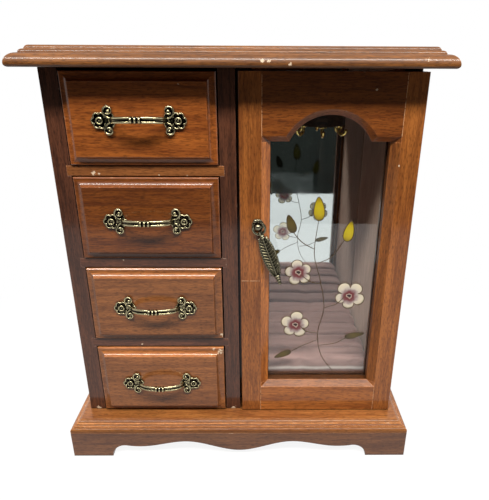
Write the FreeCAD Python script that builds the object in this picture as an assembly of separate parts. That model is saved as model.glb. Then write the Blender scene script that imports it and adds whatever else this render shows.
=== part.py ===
import FreeCAD, Part
import math
import os

from FreeCAD import Vector

# A table-top jewellery cabinet in wood: four drawers on the left, a glazed
# door on the right with a mirrored compartment, a moulded top and a moulded
# base on scalloped aprons. Millimetres, +Z up, the front faces -Y, and the
# origin is at the middle of the footprint, on the table.

# Overall sizes
case_width = 260.0
case_depth = 130.0
case_height = 280.5
side_overhang = 12.0
front_overhang = 21.0
back_overhang = 1.0

# Base
apron_height = 24.2
apron_thickness = 9.0
foot_width = 33.4
base_thickness = 8.8
base_moulding_reach = 8.5
corner_block_leg = 14.0
corner_block_rise = 3.0
rear_apron_low = 10.6

# Top
top_thickness = 13.0
top_moulding_reach = 12.5

# Case boards
side_thickness = 12.5
middle_stile_width = 11.7
back_thickness = 4.0
middle_stile_right = 0.2
dust_board_thickness = 3.2
dado_depth = 2.0
rail_thickness = 7.4
rail_housing = 3.0
door_stop_width = 8.0
door_stop_depth = 8.0

# Drawers
drawer_count = 4
drawer_side_gap = 1.0
drawer_rail_gap = 0.75
lowest_drawer_gap = 1.0
highest_drawer_gap = 2.6
drawer_front_thickness = 13.2
drawer_front_proud = 1.2
field_height = 4.5
field_border = 6.6
drawer_wall = 5.0
drawer_wall_height = 50.0
drawer_running_gap = 0.3
drawer_rear_gap = 0.6
drawer_bottom = 3.0
drawer_bottom_rise = 3.0
drawer_groove = 2.0
drawer_lining = 1.5

# Drawer pulls
pull_spread = 53.0
pull_bow_reach = 11.3
pull_bow_radius = 2.2
pull_bow_bend = 7.0
pull_bow_half = 19.0
pull_bow_rise = 2.0
pull_bow_sides = 8
pull_flower_radius = 5.2
pull_flower_sides = 10
pull_petal_sides = 6
pull_flower_thickness = 1.8
pull_petal_radius = 2.2
pull_petals = 5
pull_eye_half = 1.7
pull_eye_rise = 0.9
pull_scroll_radius = 3.1
pull_scroll_thickness = 2.8
pull_scroll_inset = 6.4
pull_scroll_rise = 7.8
pull_strap_width = 3.0
pull_ring_radius = 3.3
pull_ring_width = 1.2
pull_ring_pitch = 2.3
pull_ring_sides = 8
pull_rings = 5

# Door
door_thickness = 16.3
door_front_proud = 2.3
door_side_gap = 2.0
door_top_gap = 2.3
door_bottom_gap = 0.5
door_back_gap = 0.6
door_edge_radius = 0.8
left_stile_flat = 16.0
right_stile_flat = 14.6
stile_bevel = 6.2
rail_bevel = 4.2
bevel_depth = 5.0
bottom_rail_flat = 24.1
top_rail_height = 42.4
arch_radius = 36.5
arch_crown_depth = 24.1
tenon_length = 11.0
tenon_thickness = 5.0
tenon_shoulder = 3.0
glass_setback = 11.3
glass_thickness = 2.0
glass_lap = 3.5
glass_gap = 0.4
bead_width = 4.0

# Hinges
hinge_height = 26.0
hinge_leaf = 1.0
hinge_leaf_width = 9.0
hinge_barrel_radius = 2.0
hinge_side_gap = 0.4
hinge_pin_radius = 0.9
hinge_running_gap = 0.05
hinge_knuckle_gap = 0.3
hinge_end_distance = 34.0
hinge_pin_head = 0.8

# Catch
magnet_width = 4.8
magnet_height = 10.0
magnet_depth = 4.0
magnet_end_distance = 60.0
strike_width = 5.2
strike_height = 12.0
strike_thickness = 0.8

# Door pull: a drop that swings on a post
post_from_edge = 13.5
post_height = 170.7
post_radius = 1.8
post_flange_radius = 4.6
post_flange_thickness = 1.2
post_head_radius = 3.4
post_head_length = 3.0
drop_running_gap = 0.06
drop_end_gap = 0.3
drop_thickness = 3.2
drop_ring_radius = 5.6
drop_length = 51.0
drop_half_width = 5.8
drop_neck_half = 1.9
drop_neck_start = 8.0
drop_collar_place = 12.0
drop_collar_radius = 3.3
drop_collar_width = 2.0
drop_body_end = 42.0
drop_ridge_radius = 1.5
drop_sides = 8
drop_tip_radius = 2.5
drop_tip_rings = 3
drop_tilt = 20.0

# Compartment
lining_thickness = 2.0
mirror_thickness = 3.0
floor_rise = 20.0
floor_board = 5.0
bearer_width = 8.0
pad_height = 22.0
pad_rolls = 5
pad_roll_share = 0.43
pad_side_gap = 0.5
pad_front_gap = 1.5
pad_back_gap = 0.6
pad_end_round = 5.0

# Necklace carousel under the top
carousel_disc_radius = 20.0
carousel_disc_thickness = 12.0
carousel_drop = 33.5
carousel_boss_radius = 15.0
carousel_boss_thickness = 4.0
carousel_neck_radius = 5.0
carousel_spindle_radius = 2.0
carousel_running_gap = 0.06
carousel_end_gap = 0.3
carousel_cap_radius = 4.5
carousel_cap_thickness = 2.0
hook_count = 6
hook_wire_radius = 0.9
hook_sides = 6
hook_bends = 4
hook_circle_radius = 16.5
hook_loop_radius = 3.2
hook_stem = 4.0
hook_sink = 4.0

# One overrun serves every cut
overrun = 1.0

# Edge outlines as shares. A step with one point is a line and a step with
# two points is an arc through the first to the second. The first number is
# the share of the moulding's reach and the second of the board's thickness.
top_edge_shares = [
    [(0.18, 0.0)],
    [(0.04, 0.06), (0.0, 0.2)],
    [(0.14, 0.5), (0.52, 0.65)],
    [(0.57, 0.66)],
    [(0.62, 0.77), (0.74, 0.82)],
    [(0.8, 0.83)],
    [(0.866, 0.951), (1.0, 1.0)],
]
base_edge_shares = [
    [(0.0, 0.0)],
    [(0.0, 0.27)],
    [(0.08, 0.44), (0.28, 0.5)],
    [(0.28, 0.6)],
    [(0.42, 0.64), (0.5, 0.76)],
    [(0.58, 0.76)],
    [(0.756, 0.935), (1.0, 1.0)],
]
field_edge_shares = [
    [(0.0, 0.0)],
    [(0.1, 0.12)],
    [(0.58, 0.24), (0.88, 0.64)],
    [(0.88, 0.82)],
    [(0.94, 0.97)],
    [(1.0, 1.0)],
]
# The scallop, from the middle of an apron to its foot: shares of the span
# between the middle and the foot, and of the apron's height.
front_scallop_shares = [(0.0, 0.25), (0.4, 0.64), (0.71, 0.44), (0.89, 0.47)]
side_scallop_shares = [(0.0, 0.64), (0.45, 0.58), (0.86, 0.47)]
scallop_foot_shares = [(0.965, 0.36), (1.0, 0.0)]

# Levels
base_low = apron_height
base_high = base_low + base_thickness
top_low = base_high + case_height
top_high = top_low + top_thickness

# Planes across the depth
depth_total = front_overhang + case_depth + back_overhang
y_front = -depth_total / 2
y_back = depth_total / 2
y_frame = y_front + front_overhang
y_door_front = y_frame - door_front_proud
y_door_back = y_door_front + door_thickness
y_case = y_door_back + door_back_gap
y_case_back = y_frame + case_depth
y_panel = y_case_back - back_thickness
y_mirror = y_panel - mirror_thickness
y_glass = y_door_front + glass_setback
y_bevel = y_door_front + bevel_depth
y_drawer_front = y_frame - drawer_front_proud
y_field = y_drawer_front - field_height
y_drawer_wall = y_drawer_front + drawer_front_thickness
y_drawer_back = y_panel - drawer_rear_gap

# Planes across the width
half_case = case_width / 2
half_total = half_case + side_overhang
x_left_inner = -half_case + side_thickness
x_right_inner = half_case - side_thickness
x_partition_left = middle_stile_right - middle_stile_width
x_partition_right = middle_stile_right
x_door_left = middle_stile_right + door_side_gap
x_door_right = half_case
x_stop_right = x_partition_right + door_stop_width
x_left_lining = x_partition_right + lining_thickness
x_right_lining = x_right_inner - lining_thickness

# Drawer ladder
drawer_gaps_total = lowest_drawer_gap + highest_drawer_gap
rail_bay = rail_thickness + 2 * drawer_rail_gap
drawer_face_height = (case_height - drawer_gaps_total - (drawer_count - 1) * rail_bay) / drawer_count
drawer_pitch = drawer_face_height + rail_bay
x_drawer_left = x_left_inner + drawer_side_gap
x_drawer_right = x_partition_left - drawer_side_gap
x_drawer_middle = (x_drawer_left + x_drawer_right) / 2

# Door levels and opening
door_low = base_high + door_bottom_gap
door_high = top_low - door_top_gap
x_open_left = x_door_left + left_stile_flat
x_open_right = x_door_right - right_stile_flat
z_open_low = door_low + bottom_rail_flat
z_shoulder = door_high - top_rail_height
z_crown = door_high - arch_crown_depth
x_arch = (x_open_left + x_open_right) / 2
z_arch = z_crown - arch_radius
x_inner_left = x_open_left + stile_bevel
x_inner_right = x_open_right - stile_bevel
z_inner_low = z_open_low + rail_bevel
z_inner_shoulder = z_shoulder - rail_bevel
inner_arch_radius = arch_radius - rail_bevel
z_inner_crown = z_arch + inner_arch_radius


def box(x_low, x_high, y_low, y_high, z_low, z_high):
    corner = Vector(x_low, y_low, z_low)
    return Part.makeBox(x_high - x_low, y_high - y_low, z_high - z_low, corner)


def rod(radius, start, end):
    run = end.sub(start)
    return Part.makeCylinder(radius, run.Length, start, run)


def fuse(shapes):
    joined = shapes[0]
    for shape in shapes[1:]:
        joined = joined.fuse(shape)
    return joined.removeSplitter()


def group(shapes):
    return Part.makeCompound(shapes)


def edge_run(steps, place):
    """Edges along a list of steps, each placed in space by place(a, b)."""
    edges = []
    here = place(*steps[0][0])
    for step in steps[1:]:
        points = [place(*point) for point in step]
        if len(points) == 1:
            edges.append(Part.makeLine(here, points[0]))
        else:
            edges.append(Part.Arc(here, points[0], points[1]).toShape())
        here = points[-1]
    return edges


def ends(steps, place):
    return place(*steps[0][0]), place(*steps[-1][-1])


def face_of(edges):
    ordered = Part.__sortEdges__(edges)
    return Part.Face(Part.Wire(ordered))


def mirrored_outline(steps, place_one, place_other):
    """A closed face whose two opposite edges are both moulded."""
    low_one, high_one = ends(steps, place_one)
    low_other, high_other = ends(steps, place_other)
    edges = edge_run(steps, place_one) + edge_run(steps, place_other)
    edges.append(Part.makeLine(high_one, high_other))
    edges.append(Part.makeLine(low_one, low_other))
    return face_of(edges)


def moulded_board(z_low, thickness, reach, steps):
    """A board over the whole footprint, moulded at the front and both sides."""
    def left(share, rise):
        return Vector(-half_total + share * reach, y_front, z_low + rise * thickness)

    def right(share, rise):
        return Vector(half_total - share * reach, y_front, z_low + rise * thickness)

    def front(share, rise):
        return Vector(-half_total, y_front + share * reach, z_low + rise * thickness)

    across = mirrored_outline(steps, left, right).extrude(Vector(0, depth_total, 0))
    low_front, high_front = ends(steps, front)
    low_back = Vector(-half_total, y_back, z_low)
    high_back = Vector(-half_total, y_back, z_low + thickness)
    edges = edge_run(steps, front)
    edges.append(Part.makeLine(high_front, high_back))
    edges.append(Part.makeLine(high_back, low_back))
    edges.append(Part.makeLine(low_back, low_front))
    along = face_of(edges).extrude(Vector(2 * half_total, 0, 0))
    return across.common(along)


def scallop_cutter(half_length, shares):
    """The space under an apron, drawn along X and cut through along Y."""
    span = half_length - foot_width

    def at(share, rise, side):
        return Vector(side * share * span, 0, rise * apron_height)

    right_side = [at(share, rise, 1) for share, rise in shares]
    left_side = [at(share, rise, -1) for share, rise in shares[1:]]
    curve = Part.BSplineCurve()
    curve.interpolate(list(reversed(left_side)) + right_side)
    edges = [curve.toShape()]
    for side, shoulder in ((1, right_side[-1]), (-1, left_side[-1])):
        bend, foot = [at(share, rise, side) for share, rise in scallop_foot_shares]
        edges.append(Part.Arc(shoulder, bend, foot).toShape())
        edges.append(Part.makeLine(foot, foot.sub(Vector(0, 0, overrun))))
    floor = Vector(span, 0, -overrun)
    edges.append(Part.makeLine(floor, Vector(-span, 0, -overrun)))
    return face_of(edges)


def plan_prism(corners, z_low, z_high):
    points = [Vector(x, y, z_low) for x, y in corners]
    wire = Part.makePolygon(points + points[:1])
    return Part.Face(wire).extrude(Vector(0, 0, z_high - z_low))


def front_apron():
    x_mitre = half_total - apron_thickness
    y_inner = y_front + apron_thickness
    corners = [(-half_total, y_front), (half_total, y_front), (x_mitre, y_inner), (-x_mitre, y_inner)]
    board = plan_prism(corners, 0, apron_height)
    space = scallop_cutter(half_total, front_scallop_shares).extrude(Vector(0, apron_thickness + 2 * overrun, 0))
    space.translate(Vector(0, y_front - overrun, 0))
    return board.cut(space)


def side_apron(side):
    x_outer = side * half_total
    x_inner = side * (half_total - apron_thickness)
    corners = [(x_outer, y_front), (x_outer, y_back), (x_inner, y_back), (x_inner, y_front + apron_thickness)]
    board = plan_prism(corners, 0, apron_height)
    space = scallop_cutter(depth_total / 2, side_scallop_shares).extrude(Vector(0, apron_thickness + 2 * overrun, 0))
    space.rotate(Vector(0, 0, 0), Vector(0, 0, 1), 90)
    x_start = max(x_outer, x_inner) + overrun
    space.translate(Vector(x_start, 0, 0))
    return board.cut(space)


def rear_apron():
    x_inner = half_total - apron_thickness
    return box(-x_inner, x_inner, y_back - apron_thickness, y_back, rear_apron_low, apron_height)


def corner_blocks():
    blocks = []
    for x_side in (-1, 1):
        for y_side in (-1, 1):
            x_corner = x_side * (half_total - apron_thickness)
            y_corner = y_side * (depth_total / 2 - apron_thickness)
            x_leg = x_corner - x_side * corner_block_leg
            y_leg = y_corner - y_side * corner_block_leg
            corners = [(x_corner, y_corner), (x_leg, y_corner), (x_corner, y_leg)]
            blocks.append(plan_prism(corners, rear_apron_low + corner_block_rise, apron_height))
    return group(blocks)


def drawer_levels():
    """The lower and upper level of each drawer face, from the top down."""
    levels = []
    for index in range(drawer_count):
        low = base_high + lowest_drawer_gap + index * drawer_pitch
        levels.append((low, low + drawer_face_height))
    levels.reverse()
    return levels


def rail_levels():
    levels = []
    for low, high in drawer_levels()[:-1]:
        rail_high = low - drawer_rail_gap
        levels.append((rail_high - rail_thickness, rail_high))
    return levels


def drawer_rail(z_low, z_high):
    x_low = x_left_inner - rail_housing
    x_high = x_partition_left + rail_housing
    return box(x_low, x_high, y_frame, y_case, z_low, z_high)


def dust_board(z_high):
    x_low = x_left_inner - dado_depth
    x_high = x_partition_left + dado_depth
    return box(x_low, x_high, y_case, y_panel, z_high - dust_board_thickness, z_high)


def opening_wire(y, x_low, x_high, z_low, z_side, radius):
    """The door's opening at one depth: a square foot and an arched head."""
    arch_half = math.sqrt(radius ** 2 - (z_side - z_arch) ** 2)
    low_left = Vector(x_low, y, z_low)
    low_right = Vector(x_high, y, z_low)
    side_right = Vector(x_high, y, z_side)
    arch_right = Vector(x_arch + arch_half, y, z_side)
    crown = Vector(x_arch, y, z_arch + radius)
    arch_left = Vector(x_arch - arch_half, y, z_side)
    side_left = Vector(x_low, y, z_side)
    edges = [
        Part.makeLine(low_left, low_right),
        Part.makeLine(low_right, side_right),
        Part.makeLine(side_right, arch_right),
        Part.Arc(arch_right, crown, arch_left).toShape(),
        Part.makeLine(arch_left, side_left),
        Part.makeLine(side_left, low_left),
    ]
    return Part.Wire(edges)


def glass_space(margin):
    """Low and high places of the glass, widened by a margin."""
    spread = glass_lap + margin
    return (
        x_inner_left - spread,
        x_inner_right + spread,
        z_inner_low - spread,
        z_inner_crown + spread,
    )


def door_opening():
    """Bevel, sight opening and glass rebate in one cutter."""
    outer = opening_wire(y_door_front, x_open_left, x_open_right, z_open_low, z_shoulder, arch_radius)
    inner_sizes = (x_inner_left, x_inner_right, z_inner_low, z_inner_shoulder, inner_arch_radius)
    inner = opening_wire(y_bevel, *inner_sizes)
    bevel = Part.makeLoft([outer, inner], True, True)
    sight = Part.Face(inner).extrude(Vector(0, door_thickness, 0))
    x_low, x_high, z_low, z_high = glass_space(glass_gap)
    rebate = box(x_low, x_high, y_glass, y_door_back + overrun, z_low, z_high)
    return fuse([bevel, sight, rebate])


def door_rail(z_low, z_high, z_tenon_low, z_tenon_high):
    """A rail that laps over the stiles' bevels and is tenoned behind them."""
    face = box(x_open_left, x_open_right, y_door_front, y_bevel, z_low, z_high)
    core = box(x_inner_left, x_inner_right, y_bevel, y_door_back, z_low, z_high)
    x_low = x_inner_left - tenon_length
    x_high = x_inner_right + tenon_length
    tenon = box(x_low, x_high, y_bevel, y_bevel + tenon_thickness, z_tenon_low, z_tenon_high)
    return fuse([face, core, tenon])


def door_frame():
    x_low, x_high, z_low, z_high = glass_space(glass_gap)
    top = door_rail(z_inner_shoulder, door_high, z_high + tenon_shoulder, door_high - tenon_shoulder)
    bottom = door_rail(door_low, z_inner_low, door_low + tenon_shoulder, z_low - tenon_shoulder)
    left = box(x_door_left, x_inner_left, y_door_front, y_door_back, door_low, door_high)
    right = box(x_inner_right, x_door_right, y_door_front, y_door_back, door_low, door_high)
    cutter = door_opening()
    left = left.cut(top).cut(bottom).cut(cutter)
    right = right.cut(top).cut(bottom).cut(cutter)
    for low, high in hinge_levels():
        right = right.cut(door_leaf_plate(low, high))
    for z in magnet_levels():
        left = left.cut(strike_plate(z))
    left = round_outer_edge(left, x_door_left)
    right = round_outer_edge(right, x_door_right)
    return left, right, top.cut(cutter), bottom.cut(cutter)


def round_outer_edge(stile, x_edge):
    """Round the long front edge of a stile."""
    chosen = []
    for edge in stile.Edges:
        first = edge.Vertexes[0].Point
        last = edge.Vertexes[-1].Point
        off_face = max(abs(first.y - y_door_front), abs(last.y - y_door_front))
        off_side = max(abs(first.x - x_edge), abs(last.x - x_edge))
        if max(off_face, off_side) < door_edge_radius / 2:
            chosen.append(edge)
    return stile.makeFillet(door_edge_radius, chosen)


def door_glass():
    x_low, x_high, z_low, z_high = glass_space(0)
    return box(x_low, x_high, y_glass, y_glass + glass_thickness, z_low, z_high)


def glazing_beads():
    """Four strips that hold the glass in its rebate from behind."""
    x_low, x_high, z_low, z_high = glass_space(0)
    y_low = y_glass + glass_thickness
    sides = [(x_low, x_low + bead_width), (x_high - bead_width, x_high)]
    strips = []
    for x_start, x_end in sides:
        strips.append(box(x_start, x_end, y_low, y_door_back, z_low, z_high))
    for z_start, z_end in ((z_low, z_low + bead_width), (z_high - bead_width, z_high)):
        strips.append(box(x_low + bead_width, x_high - bead_width, y_low, y_door_back, z_start, z_end))
    return group(strips)


x_hinge = half_case + hinge_side_gap + hinge_barrel_radius
y_hinge = (y_door_back + y_case) / 2


def hinge_levels():
    low = door_low + hinge_end_distance
    high = door_high - hinge_end_distance - hinge_height
    return [(low, low + hinge_height), (high, high + hinge_height)]


def magnet_levels():
    return [door_low + magnet_end_distance, door_high - magnet_end_distance]


def barrel(z_low, z_high, bore):
    start = Vector(x_hinge, y_hinge, z_low)
    end = Vector(x_hinge, y_hinge, z_high)
    return rod(hinge_barrel_radius, start, end).cut(rod(bore, start, end))


def case_leaf_plate(z_low, z_high):
    return box(half_case - hinge_leaf_width, half_case, y_case, y_case + hinge_leaf, z_low, z_high)


def door_leaf_plate(z_low, z_high):
    return box(half_case - hinge_leaf_width, half_case, y_door_back - hinge_leaf, y_door_back, z_low, z_high)


def knuckle(y_low, z_low, z_high, bore):
    """A barrel segment with the tab that joins it to its leaf."""
    tab = box(half_case, x_hinge, y_low, y_low + hinge_leaf, z_low, z_high)
    start = Vector(x_hinge, y_hinge, z_low)
    end = Vector(x_hinge, y_hinge, z_high)
    return tab.cut(rod(bore, start, end)).fuse(barrel(z_low, z_high, bore))


def case_leaf(z_low, z_high):
    third = hinge_height / 3
    plate = case_leaf_plate(z_low, z_high)
    lower = knuckle(y_case, z_low, z_low + third, hinge_pin_radius)
    upper = knuckle(y_case, z_high - third, z_high, hinge_pin_radius)
    return fuse([plate, lower, upper])


def door_leaf(z_low, z_high):
    third = hinge_height / 3
    plate = door_leaf_plate(z_low, z_high)
    z_start = z_low + third + hinge_knuckle_gap
    z_end = z_high - third - hinge_knuckle_gap
    middle = knuckle(y_door_back - hinge_leaf, z_start, z_end, hinge_pin_radius + hinge_running_gap)
    return fuse([plate, middle])


def hinge_pin(z_low, z_high):
    start = Vector(x_hinge, y_hinge, z_low)
    end = Vector(x_hinge, y_hinge, z_high)
    head = rod(hinge_barrel_radius, end, Vector(x_hinge, y_hinge, z_high + hinge_pin_head))
    return rod(hinge_pin_radius, start, end).fuse(head)


def catch_magnet(z):
    x = (x_stop_right + x_door_left) / 2
    half = magnet_width / 2
    z_low = z - magnet_height / 2
    return box(x - half, x + half, y_case, y_case + magnet_depth, z_low, z_low + magnet_height)


def strike_plate(z):
    x = (x_stop_right + x_door_left) / 2
    half = strike_width / 2
    z_low = z - strike_height / 2
    return box(x - half, x + half, y_door_back - strike_thickness, y_door_back, z_low, z_low + strike_height)


def moulded_drawer_front(z_low, z_high):
    """A plate whose raised field is bordered by a cove on all four edges."""
    def depth(rise):
        return y_drawer_front - rise * field_height

    def left(share, rise):
        return Vector(x_drawer_left + share * field_border, depth(rise), z_low)

    def right(share, rise):
        return Vector(x_drawer_right - share * field_border, depth(rise), z_low)

    def lower(share, rise):
        return Vector(x_drawer_left, depth(rise), z_low + share * field_border)

    def upper(share, rise):
        return Vector(x_drawer_left, depth(rise), z_high - share * field_border)

    width = x_drawer_right - x_drawer_left
    height = z_high - z_low
    plan = mirrored_outline(field_edge_shares, left, right).extrude(Vector(0, 0, height))
    elevation = mirrored_outline(field_edge_shares, lower, upper).extrude(Vector(width, 0, 0))
    plate = box(x_drawer_left, x_drawer_right, y_drawer_front, y_drawer_wall, z_low, z_high)
    return fuse([plan.common(elevation), plate])


def drawer_box(z_face_low, z_floor):
    """Side walls, back wall and bottom board, which sits in their grooves."""
    z_low = z_floor + drawer_running_gap
    z_high = z_low + drawer_wall_height
    y_low = y_drawer_wall
    y_high = y_drawer_back
    x_in_left = x_drawer_left + drawer_wall
    x_in_right = x_drawer_right - drawer_wall
    left = box(x_drawer_left, x_in_left, y_low, y_high, z_low, z_high)
    right = box(x_in_right, x_drawer_right, y_low, y_high, z_low, z_high)
    back = box(x_in_left, x_in_right, y_high - drawer_wall, y_high, z_low, z_high)
    z_board = z_low + drawer_bottom_rise
    y_board_high = y_high - drawer_wall + drawer_groove
    x_board_low = x_in_left - drawer_groove
    x_board_high = x_in_right + drawer_groove
    board = box(x_board_low, x_board_high, y_low, y_board_high, z_board, z_board + drawer_bottom)
    walls = group([wall.cut(board) for wall in (left, right, back)])
    z_top = z_board + drawer_bottom
    lining = box(x_in_left, x_in_right, y_low, y_high - drawer_wall, z_top, z_top + drawer_lining)
    return walls, board, lining


def strap(x_start, z_start, x_end, z_end, width, thickness):
    """A flat bar on the pull's plate, from one point to another."""
    run = Vector(x_end - x_start, 0, z_end - z_start)
    side = run.cross(Vector(0, 1, 0)).normalize() * (width / 2)
    start = Vector(x_start, 0, z_start)
    end = start.add(run)
    corners = [start.add(side), end.add(side), end.sub(side), start.sub(side)]
    face = Part.Face(Part.makePolygon(corners + corners[:1]))
    return face.extrude(Vector(0, -thickness, 0))


def ring_points(radius, sides, centre, first, second):
    """Corners of a regular polygon in the plane of two unit vectors."""
    points = []
    for index in range(sides):
        angle = 2 * math.pi * (index + 0.5) / sides
        offset = first * (radius * math.cos(angle)) + second * (radius * math.sin(angle))
        points.append(centre.add(offset))
    return points + points[:1]


def knob(radius, sides, x, z, thickness):
    """A flat many-sided raised piece on the pull's plate."""
    outline = ring_points(radius, sides, Vector(x, 0, z), Vector(1, 0, 0), Vector(0, 0, 1))
    return Part.Face(Part.makePolygon(outline)).extrude(Vector(0, -thickness, 0))


def pull_end(side):
    """A flower with petals outside and two scrolls turned to the bow."""
    x = side * pull_spread / 2
    thickness = pull_flower_thickness
    parts = [knob(pull_flower_radius, pull_flower_sides, x, 0, thickness)]
    for index in range(pull_petals):
        angle = 1.5 * math.pi * (index - (pull_petals - 1) / 2) / pull_petals
        petal_x = x + side * math.cos(angle) * pull_flower_radius
        petal_z = math.sin(angle) * pull_flower_radius
        parts.append(knob(pull_petal_radius, pull_petal_sides, petal_x, petal_z, thickness))
    eye_high = thickness + pull_eye_rise
    parts.append(box(x - pull_eye_half, x + pull_eye_half, -eye_high, 0, -pull_eye_half, pull_eye_half))
    x_scroll = x - side * pull_scroll_inset
    x_root = side * pull_bow_half
    for z_side in (-1, 1):
        z = z_side * pull_scroll_rise
        parts.append(knob(pull_scroll_radius, pull_flower_sides, x_scroll, z, pull_scroll_thickness))
        parts.append(strap(x_root, 0, x_scroll, z, pull_strap_width, thickness))
    parts.append(strap(x_root, 0, x, 0, 2 * pull_bow_radius, thickness))
    return fuse(parts)


def pull_bow():
    """A bar that leaves the plate, turns in facets and runs across."""
    half = pull_bow_half
    bend = pull_bow_bend
    reach = -pull_bow_reach
    turn = bend * (1 - math.sqrt(0.5))
    left = [
        Vector(-half, 0, 0),
        Vector(-half, reach + bend, 0),
        Vector(-half + turn, reach + turn, 0),
        Vector(-half + bend, reach, 0),
    ]
    right = [Vector(-point.x, point.y, 0) for point in reversed(left)]
    path = Part.makePolygon(left + right)
    section = ring_points(pull_bow_radius, pull_bow_sides, left[0], Vector(1, 0, 0), Vector(0, 0, 1))
    bar = path.makePipeShell([Part.makePolygon(section)], True, True, 1)
    rings = []
    for index in range(pull_rings):
        x = (index - (pull_rings - 1) / 2) * pull_ring_pitch
        start = Vector(x - pull_ring_width / 2, reach, 0)
        outline = ring_points(pull_ring_radius, pull_ring_sides, start, Vector(0, 1, 0), Vector(0, 0, 1))
        ring = Part.Face(Part.makePolygon(outline)).extrude(Vector(pull_ring_width, 0, 0))
        rings.append(ring)
    bow = fuse([bar] + rings)
    lift = math.degrees(math.atan2(pull_bow_rise, pull_bow_reach))
    bow.rotate(Vector(0, 0, 0), Vector(1, 0, 0), -lift)
    return bow


def drawer_pull():
    reach = pull_spread + pull_bow_reach
    behind = box(-reach, reach, 0, reach, -reach, reach)
    return fuse([pull_end(-1), pull_end(1), pull_bow().cut(behind)])


def place_pull(pull, z_low, z_high):
    placed = pull.copy()
    placed.translate(Vector(x_drawer_middle, y_field, (z_low + z_high) / 2))
    return placed


x_post = x_door_left + post_from_edge
z_post = door_low + post_height
y_drop_back = y_door_front - post_flange_thickness - drop_end_gap
y_drop_front = y_drop_back - drop_thickness


def pull_post():
    """Flange, round post and turned knob head, about an axis along Y."""
    y_head = y_drop_front - drop_end_gap
    y_end = y_head - post_head_length
    chamfer = post_head_length / 3
    profile = [
        (0, y_door_front),
        (post_flange_radius, y_door_front),
        (post_flange_radius, y_door_front - post_flange_thickness),
        (post_radius, y_door_front - post_flange_thickness),
        (post_radius, y_head),
        (post_head_radius, y_head),
        (post_head_radius, y_end + chamfer),
        (post_head_radius - chamfer, y_end),
        (0, y_end),
    ]
    points = [Vector(x_post + radius, y, z_post) for radius, y in profile]
    face = Part.Face(Part.makePolygon(points + points[:1]))
    return face.revolve(Vector(x_post, 0, z_post), Vector(0, 1, 0), 360)


def pendant():
    """A ring, a collar, a leaf with a middle ridge and a ringed tip."""
    y_middle = (y_drop_back + y_drop_front) / 2
    ring = rod(drop_ring_radius, Vector(0, y_drop_back, 0), Vector(0, y_drop_front, 0))
    leaf_low = -drop_body_end
    leaf_high = -drop_collar_place

    def side_points(side):
        return [
            Vector(side * drop_neck_half, y_drop_back, leaf_low),
            Vector(side * drop_half_width, y_drop_back, (leaf_low + leaf_high) / 2),
            Vector(side * drop_neck_half, y_drop_back, leaf_high),
        ]

    edges = []
    for side in (-1, 1):
        low, middle, high = side_points(side)
        edges.append(Part.Arc(low, middle, high).toShape())
    for index in (0, 2):
        edges.append(Part.makeLine(side_points(-1)[index], side_points(1)[index]))
    leaf = face_of(edges).extrude(Vector(0, -drop_thickness, 0))
    neck = box(-drop_neck_half, drop_neck_half, y_drop_front, y_drop_back, leaf_high, -drop_neck_start / 2)
    z_collar = leaf_high
    collar_low = Vector(0, y_middle, z_collar - drop_collar_width / 2)
    collar_outline = ring_points(drop_collar_radius, drop_sides, collar_low, Vector(1, 0, 0), Vector(0, 1, 0))
    collar = Part.Face(Part.makePolygon(collar_outline)).extrude(Vector(0, 0, drop_collar_width))
    keep = box(-drop_length, drop_length, y_drop_front - drop_ridge_radius, y_drop_back, -drop_length, 0)
    ridge_low = Vector(0, y_drop_front, leaf_low)
    ridge_outline = ring_points(drop_ridge_radius, drop_sides, ridge_low, Vector(1, 0, 0), Vector(0, 1, 0))
    ridge = Part.Face(Part.makePolygon(ridge_outline)).extrude(Vector(0, 0, leaf_high - leaf_low))
    tip_parts = []
    ring_height = (drop_length - drop_body_end) / drop_tip_rings
    for index in range(drop_tip_rings):
        z_high = leaf_low - index * ring_height
        radius = drop_tip_radius - index * drop_tip_radius / (2 * drop_tip_rings)
        centre = Vector(0, y_middle, z_high)
        outline = ring_points(radius, drop_sides, centre, Vector(1, 0, 0), Vector(0, 1, 0))
        tip_parts.append(Part.Face(Part.makePolygon(outline)).extrude(Vector(0, 0, -ring_height)))
    drop = fuse([ring, leaf, neck, collar, ridge] + tip_parts)
    drop = drop.common(keep.fuse(ring))
    bore = rod(post_radius + drop_running_gap, Vector(0, y_drop_back + overrun, 0),
               Vector(0, y_drop_front - overrun - drop_ridge_radius, 0))
    drop = drop.cut(bore)
    drop.rotate(Vector(0, 0, 0), Vector(0, 1, 0), -drop_tilt)
    drop.translate(Vector(x_post, 0, z_post))
    return drop


z_floor_top = base_high + floor_rise
y_pad_front = y_door_back + pad_front_gap
y_pad_back = y_mirror - pad_back_gap


def raised_floor():
    z_low = z_floor_top - floor_board
    board = box(x_stop_right, x_right_lining, y_pad_front, y_mirror, z_low, z_floor_top)
    front = box(x_stop_right, x_right_lining, y_pad_front, y_pad_front + bearer_width, base_high, z_low)
    back = box(x_stop_right, x_right_lining, y_mirror - bearer_width, y_mirror, base_high, z_low)
    return group([board, front, back])


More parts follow.
